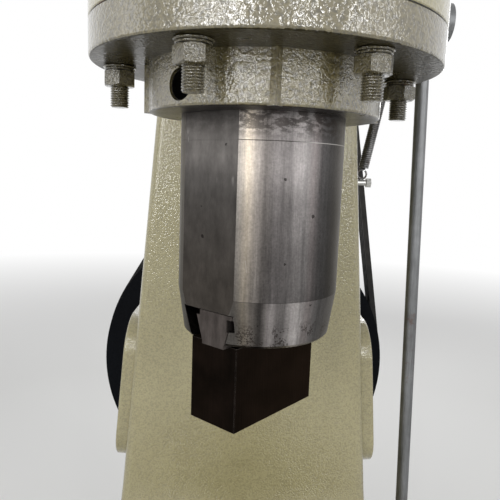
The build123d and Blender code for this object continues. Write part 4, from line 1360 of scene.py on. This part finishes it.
@dataclass
class Drive:
    """Details of the motor, its bracket and the flywheel."""

    finishes: Finishes
    motor_x: float = 175.0 * MM
    motor_y: float = 760.0 * MM
    motor_z: float = 1700.0 * MM
    grille_rs: tuple[float, ...] = (22.0 * MM, 40.0 * MM, 58.0 * MM, 76.0 * MM)
    grille_bar: float = 6.0 * MM
    grille_draft: float = 0.5 * MM
    grille_t: float = 1.4 * MM
    spoke_span: Point = (20.0 * MM, 84.0 * MM)
    spoke_half: float = 2.0 * MM
    spoke_t: float = 1.7 * MM
    spokes: int = 8
    lid_half: float = 50.0 * MM
    lid_corner: float = 8.0 * MM
    corner_steps: int = 4
    lid_t: float = 6.0 * MM
    lid_sink: float = 6.2 * MM
    lid_edge: float = 1.5 * MM
    plug_x: float = 46.0 * MM
    plug_drop: float = 26.0 * MM
    plug: tuple[Point, ...] = (
        (4.0 * MM, 0.0), (12.5 * MM, 0.0), (12.5 * MM, 4.0 * MM), (10.5 * MM, 5.0 * MM),
        (10.5 * MM, 10.5 * MM), (9.0 * MM, 12.0 * MM), (4.0 * MM, 12.0 * MM),
    )
    foot_t: float = 16.0 * MM
    foot_half: Point = (100.0 * MM, 70.0 * MM)
    foot_turn: float = 9.0
    bracket_t: float = 25.0 * MM
    bracket_xs: Point = (35.0 * MM, 110.0 * MM)
    bracket_zs: tuple[float, ...] = (1330.0 * MM, 1430.0 * MM, 1510.0 * MM)
    bracket_turn: float = 7.0
    key_z: float = 816.0 * MM
    key_half: Point = (7.0 * MM, 6.0 * MM)
    key_sink: float = 4.0 * MM
    key_t: float = 5.5 * MM
    key_edge: float = 0.8 * MM

    def __post_init__(self) -> None:
        """Take the motor's box."""
        self.motor_low, self.motor_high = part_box("motor")

    def make_fan_grille(self) -> None:
        """Slotted guard on the end of the motor's fan cowl."""
        shape = Shape()
        at = axis_frame(Vector((self.motor_x, self.motor_low.y, self.motor_z)), FRONT)
        draft, t = self.grille_draft, self.grille_t
        for inner in self.grille_rs:
            outer = inner + self.grille_bar
            bar = [(inner, 0.0), (outer, 0.0), (outer - draft, t), (inner + draft, t)]
            shape.turned(bar, at, segments=72, closed=True)
        (start, end), half = self.spoke_span, self.spoke_half
        for i in range(self.spokes):
            spoke = at @ Matrix.Rotation(TURN * i / self.spokes, 4, "Z")
            shape.prism([(start, -half), (end, -half), (end, half), (start, half)], self.spoke_t, spoke)
        shape.piece("motor_fan_grille", Body.FRAME, self.finishes.motor, Slot.MOTOR)

    def make_terminal_box(self) -> None:
        """Lid and closed cable entry of the motor's terminal box."""
        high_z, straight = self.motor_high.z, self.lid_half - self.lid_corner
        outline = []
        for x, y, start in ((1, 1, 0), (-1, 1, 90), (-1, -1, 180), (1, -1, 270)):
            for k in range(self.corner_steps + 1):
                corner = on_circle(self.lid_corner, math.radians(start + 90.0 / self.corner_steps * k))
                outline.append((x * straight + corner.x, y * straight + corner.y))
        lid = Shape()
        seat = Matrix.Translation((self.motor_x, self.motor_y, high_z - self.lid_sink))
        lid.prism(outline, self.lid_t, seat, edge=self.lid_edge)
        lid.piece("terminal_box_lid", Body.FRAME, self.finishes.motor, Slot.MOTOR)
        plug = Shape()
        entry = Vector((self.motor_x + self.plug_x, self.motor_y, high_z - self.plug_drop))
        plug.turned(list(self.plug), axis_frame(entry, RIGHT), segments=32)
        plug.piece("terminal_box_plug", Body.FRAME, self.finishes.washer, Slot.LINKAGE)

    def make_motor_bolts(self) -> None:
        """Bolts of the motor's feet and of its bracket."""
        feet = Shape()
        half_x, half_y = self.foot_half
        for x in (self.motor_x - half_x, self.motor_x + half_x):
            for y in (self.motor_y - half_y, self.motor_y + half_y):
                place = Matrix.Translation((x, y, self.motor_low.z + self.foot_t))
                M12.add(feet, place @ Matrix.Rotation(x * self.foot_turn, 4, "Z"))
        feet.piece("motor_foot_bolts", Body.FRAME, self.finishes.zinc, Slot.ZINC)
        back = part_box("motor_bracket")[0].y + self.bracket_t
        plate = Shape()
        for x in self.bracket_xs:
            for z in self.bracket_zs:
                M16.add(plate, axis_frame(Vector((x, back, z)), BACK, z * self.bracket_turn))
        plate.piece("motor_bracket_bolts", Body.FRAME, self.finishes.zinc, Slot.ZINC)

    def make_wheel_key(self) -> None:
        """Key beside the crankshaft in the flywheel's hub."""
        shape = Shape()
        face_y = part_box("flywheel")[1].y
        at = axis_frame(Vector((0.0, face_y - self.key_sink, self.key_z)), BACK)
        x, y = self.key_half
        shape.prism([(-x, -y), (x, -y), (x, y), (-x, y)], self.key_t, at, edge=self.key_edge)
        shape.piece("flywheel_key", Body.FLYWHEEL, self.finishes.bright, Slot.BRIGHT)

    def build(self) -> None:
        """Make every piece of the drive."""
        self.make_fan_grille()
        self.make_terminal_box()
        self.make_motor_bolts()
        self.make_wheel_key()


@dataclass
class Linkage:
    """Return spring, pin clips and hub screws of the treadle linkage."""

    finishes: Finishes
    wire_r: float = 1.6 * MM
    coil_r: float = 7.4 * MM
    coil_lay: float = 2.06
    coil_neck: float = 0.35
    hook_r: float = 8.0 * MM
    hook_gap: float = 1.2
    hook_start: float = 62.0
    hook_sweep: float = 332.0
    hook_steps: int = 24
    y: float = 350.0 * MM
    low_x: float = 188.0 * MM
    high_x: float = 228.0 * MM
    steps: int = 20
    treadle_pin_z: float = 150.0 * MM
    lever_pin_z: float = 1560.0 * MM
    clip_sink: float = 3.4 * MM
    clip_span: Point = (8.2 * MM, 13.5 * MM)
    clip_t: float = 1.4 * MM
    split_pin_r: float = 0.7 * MM
    split_pin_sink: float = 1.2 * MM
    eye_half: Point = (1.0 * MM, 2.2 * MM)
    eye_rise: float = 10.5 * MM
    eye_steps: int = 16
    leg: tuple[Point, ...] = ((0.8 * MM, 8.5 * MM), (0.8 * MM, -8.5 * MM), (3.2 * MM, -12.5 * MM))
    hub_x: float = 301.0 * MM
    hub_y: float = 215.0 * MM
    hub_top: float = 179.3 * MM
    screw_flats: float = 13.0 * MM
    screw_h: float = 8.0 * MM
    screw_spin: float = 0.4

    def hook_centres(self) -> tuple[Vector, Vector]:
        """Find the middles of the two end rings of the CAD spring.

        Returns:
            The lower and the upper middle.
        """
        low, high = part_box("return_spring")
        reach = self.hook_r + self.wire_r
        return Vector((self.low_x, self.y, low.z + reach)), Vector((self.high_x, self.y, high.z - reach))

    def hook(self, centre: Vector, along: Vector, out: Vector) -> list[Vector]:
        """Most of a ring that leads into the coil.

        Args:
            centre: Middle of the ring.
            along: Direction from the ring to the coil.
            out: Direction across the spring, in the ring's plane.

        Returns:
            Points from the wire's free end to the coil.
        """
        points = []
        for i in range(self.hook_steps + 1):
            a = math.radians(self.hook_start - self.hook_sweep * i / self.hook_steps)
            points.append(centre + (along * math.sin(a) + out * math.cos(a)) * self.hook_r)
        return points

    def make_spring(self) -> None:
        """Close-wound wire with a hook at each end."""
        low, high = self.hook_centres()
        along = (high - low).normalized()
        out = BACK.cross(along).normalized()
        reach = along * (self.hook_r + self.hook_gap * self.wire_r)
        start, end = low + reach, high - reach
        length = (end - start).length
        count = int(length / (self.coil_lay * self.wire_r)) * self.steps
        coil = []
        for i in range(count + 1):
            a = TURN * i / self.steps
            grow = min(1.0, i / self.steps * 2, (count - i) / self.steps * 2)
            r = self.coil_r * (self.coil_neck + (1.0 - self.coil_neck) * grow)
            coil.append(start + along * (length * i / count) + (out * math.cos(a) + BACK * math.sin(a)) * r)
        wire = self.hook(low, along, out) + coil + self.hook(high, -along, out)[::-1]
        shape = Shape()
        shape.tube(wire, self.wire_r)
        piece = shape.piece("return_spring_coil", None, self.finishes.spring, Slot.SPRING)
        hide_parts("return_spring")
        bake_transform(piece)

    def make_pin_clip(self, name: str, body: Body, end_x: float, z: float) -> None:
        """Washer and split pin on the end of a link pin.

        Args:
            name: Name of the piece.
            body: Body that carries the pin.
            end_x: Where the pin ends.
            z: Height of the pin.
        """
        shape = Shape()
        at = axis_frame(Vector((end_x - self.clip_sink, self.y, z)), RIGHT)
        shape.washer(self.clip_span, (0.0, self.clip_t), at, segments=40)
        middle = Vector((end_x - self.split_pin_sink, self.y, z))
        half_y, half_z = self.eye_half
        eye = []
        for i in range(self.eye_steps + 1):
            a = TURN * i / self.eye_steps
            eye.append(middle + Vector((0.0, half_y * math.sin(a), self.eye_rise + half_z * math.cos(a))))
        shape.tube(eye, self.split_pin_r)
        for side in Side:
            shape.tube([middle + Vector((0.0, side * y, up)) for y, up in self.leg], self.split_pin_r)
        shape.piece(name, body, self.finishes.zinc, Slot.ZINC)

    def make_hub_screws(self) -> None:
        """Set screws in the treadle's hubs."""
        shape = Shape()
        for side in Side:
            at = axis_frame(Vector((side * self.hub_x, self.hub_y, self.hub_top)), UP, self.screw_spin)
            shape.hexagon(self.screw_flats, self.screw_h, at, both=False)
        shape.piece("treadle_hub_screws", Body.TREADLE, self.finishes.linkage, Slot.LINKAGE)

    def build(self) -> None:
        """Make every piece of the linkage."""
        self.make_spring()
        treadle_x, lever_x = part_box("treadle_bar")[1].x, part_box("valve_lever")[1].x
        self.make_pin_clip("treadle_pin_clip", Body.TREADLE, treadle_x, self.treadle_pin_z)
        self.make_pin_clip("lever_pin_clip", Body.LEVER, lever_x, self.lever_pin_z)
        self.make_hub_screws()


@dataclass
class CadDress:
    """Finishes of the CAD nodes whose shapes stay."""

    finishes: Finishes

    def groups(self) -> tuple[tuple[str, Material], ...]:
        """Pair the nodes with their finishes.

        Returns:
            The names of nodes that share a finish, with spaces between, and that finish.
        """
        made = self.finishes
        painted = (
            "base_casting column_casting cylinder_casting work_cylinder_cover compressor_cover valve_caps "
            "valve_gland side_cover_left side_cover_right rear_bearing_housing bearing_cap motor_bracket"
        )
        return (
            (painted, made.paint),
            ("ram_guide", made.shaded_guide_paint),
            ("ram", made.ram),
            ("upper_die", made.upper_die),
            ("lower_die", made.die),
            ("upper_die_wedge lower_die_wedge sow_wedge", made.wedge),
            ("anvil_block sow_block", made.iron),
            ("flywheel motor_pulley", made.black),
            ("flywheel_nut crankshaft valve_shaft treadle_shaft", made.bright),
            ("treadle_bar link_rod valve_lever", made.linkage),
            ("drive_belt_1 drive_belt_2 drive_belt_3 drive_belt_4", made.rubber),
            ("motor", made.motor),
            ("spring_anchor", made.zinc),
            ("return_spring", made.spring),
        )

    def build(self) -> None:
        """Assign the finishes."""
        for names, material in self.groups():
            for name in names.split():
                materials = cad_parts[name].data.materials
                materials.clear()
                materials.append(material)
                log.info("%s: %s", name, material.name)


@dataclass(frozen=True)
class Lamp:
    """Upright soft box that faces the ram, at an azimuth from the front towards the right, in degrees."""

    name: str
    azimuth: float
    watts: float
    distance: float = 3.2
    height: float = 2.05
    size: Point = (0.14, 1.8)
    target: tuple[float, float, float] = (0.0, 0.15, 1.2)

    def make(self) -> None:
        """Make the lamp."""
        data = bpy.data.lights.new(self.name, "AREA")
        data.shape = "RECTANGLE"
        data.size, data.size_y = self.size
        data.energy = self.watts
        lamp = bpy.data.objects.new(self.name, data)
        bpy.context.scene.collection.objects.link(lamp)
        lamp.location = around_ram(self.distance, self.azimuth, self.height)
        lamp.rotation_euler = (Vector(self.target) - lamp.location).to_track_quat("-Z", "Y").to_euler()
        lamp.visible_camera = False


def plainly_seen(tree: bpy.types.NodeTree) -> Socket:
    """Give 1 on rays from the camera, from gloss and through glass, and 0 on the rays that light things.

    Args:
        tree: Nodes of the world or of a material.

    Returns:
        The share.
    """
    rays = tree.nodes.new("ShaderNodeLightPath")
    seen = rays.outputs["Is Camera Ray"]
    for kind in ("Is Glossy Ray", "Is Transmission Ray"):
        larger = tree.nodes.new("ShaderNodeMath")
        larger.operation = "MAXIMUM"
        tree.links.new(seen, larger.inputs[0])
        tree.links.new(rays.outputs[kind], larger.inputs[1])
        seen = larger.outputs[0]
    return seen


@dataclass
class Studio:
    """Pale floor, white background, soft light and the camera."""

    eye_mm: tuple[float, float, float] = (-20.8, -622.5, 1338.9)
    yaw: float = math.radians(1.02)
    pitch: float = math.radians(-8.33)
    roll: float = math.radians(2.07)
    focal_px: float = 549.7
    photo_px: float = 500.0
    sensor_mm: float = 36.0
    clip_start: float = 20.0 * MM
    ambient: float = 0.45
    floor_r: float = 30.0
    floor_drop: float = 0.5 * MM
    floor_sides: int = 96
    floor_colour: Colour = (0.84, 0.84, 0.83)
    floor_rough: float = 0.9
    fade_start: float = 3.0
    fade_rate: float = 0.2
    lamps: tuple[Lamp, ...] = (
        Lamp("lamp_left_outer", -48.0, 10.0),
        Lamp("lamp_left_middle", -32.0, 18.0),
        Lamp("lamp_left_inner", -17.0, 21.0),
        Lamp("lamp_front", 17.0, 17.0),
        Lamp("lamp_right_inner", 50.0, 13.0),
        Lamp("lamp_right_outer", 70.0, 7.0),
        Lamp("lamp_left_side", -88.0, 7.0, distance=3.4, height=2.2, size=(1.0, 2.0)),
        Lamp("lamp_back", 170.0, 40.0, distance=3.6, height=2.6, size=(2.2, 1.6)),
    )

    def make_camera(self) -> None:
        """Camera at the photograph's view."""
        data = bpy.data.cameras.new("photo_camera")
        data.sensor_fit = "HORIZONTAL"
        data.sensor_width = self.sensor_mm
        data.lens = self.focal_px / self.photo_px * self.sensor_mm
        data.clip_start = self.clip_start
        camera = bpy.data.objects.new("photo_camera", data)
        bpy.context.scene.collection.objects.link(camera)
        ahead = math.cos(self.pitch)
        look = Vector((math.sin(self.yaw) * ahead, math.cos(self.yaw) * ahead, math.sin(self.pitch)))
        level = Vector((math.cos(self.yaw), -math.sin(self.yaw), 0.0))
        up = level.cross(look)
        right = level * math.cos(self.roll) + up * math.sin(self.roll)
        over = up * math.cos(self.roll) - level * math.sin(self.roll)
        turn = Matrix((right, over, -look)).transposed().to_4x4()
        camera.matrix_world = Matrix.Translation(Vector(self.eye_mm) * MM) @ turn
        bpy.context.scene.camera = camera

    def make_world(self) -> None:
        """White where the camera and glossy rays see it, and plain grey light elsewhere."""
        world = bpy.data.worlds.new("studio_world")
        world.use_nodes = True
        bpy.context.scene.world = world
        nodes, links = world.node_tree.nodes, world.node_tree.links
        nodes.clear()
        light, white = nodes.new("ShaderNodeBackground"), nodes.new("ShaderNodeBackground")
        for node in (light, white):
            node.inputs["Color"].default_value = (1.0, 1.0, 1.0, 1.0)
        light.inputs["Strength"].default_value = self.ambient
        mix = nodes.new("ShaderNodeMixShader")
        for i, output in enumerate((plainly_seen(world.node_tree), light.outputs[0], white.outputs[0])):
            links.new(output, mix.inputs[i])
        links.new(mix.outputs[0], nodes.new("ShaderNodeOutputWorld").inputs[0])

    def make_floor(self) -> None:
        """Pale round floor that fades into the background far from the hammer."""
        disc = bmesh.new()
        bmesh.ops.create_circle(disc, cap_ends=True, segments=self.floor_sides, radius=self.floor_r)
        data = bpy.data.meshes.new("studio_floor")
        disc.to_mesh(data)
        disc.free()
        floor = bpy.data.objects.new("studio_floor", data)
        floor.location.z = -self.floor_drop
        bpy.context.scene.collection.objects.link(floor)
        tree = NodeTree("studio_floor")
        length = tree.add("ShaderNodeVectorMath", operation="LENGTH")
        tree.links.new(tree.place, length.inputs[0])
        beyond = tree.minus(length.outputs["Value"], self.fade_start)
        far = tree.math("MULTIPLY", beyond, self.fade_rate, clamp=True)
        far = tree.times(far, plainly_seen(tree.material.node_tree))
        data.materials.append(tree.finish(self.floor_colour, self.floor_rough))
        mix = tree.add("ShaderNodeMixShader")
        glow = tree.add("ShaderNodeEmission")
        for i, output in enumerate((far, tree.shader.outputs[0], glow.outputs[0])):
            tree.links.new(output, mix.inputs[i])
        tree.links.new(mix.outputs[0], tree.nodes["Material Output"].inputs["Surface"])

    def build(self) -> None:
        """Make the camera, the background, the floor and the lamps."""
        self.make_camera()
        self.make_world()
        self.make_floor()
        for lamp in self.lamps:
            lamp.make()
        bpy.context.scene.view_settings.view_transform = "Standard"


def main() -> None:
    """Build the finishes, the pieces and the studio in order."""
    logging.basicConfig(level=logging.INFO, format="%(name)s: %(message)s")
    finishes = Finishes()
    CadDress(finishes).build()
    RamGuide(finishes).build()
    Castings(finishes).build()
    Drive(finishes).build()
    Linkage(finishes).build()
    Studio().build()


if __name__ == "__main__":
    main()
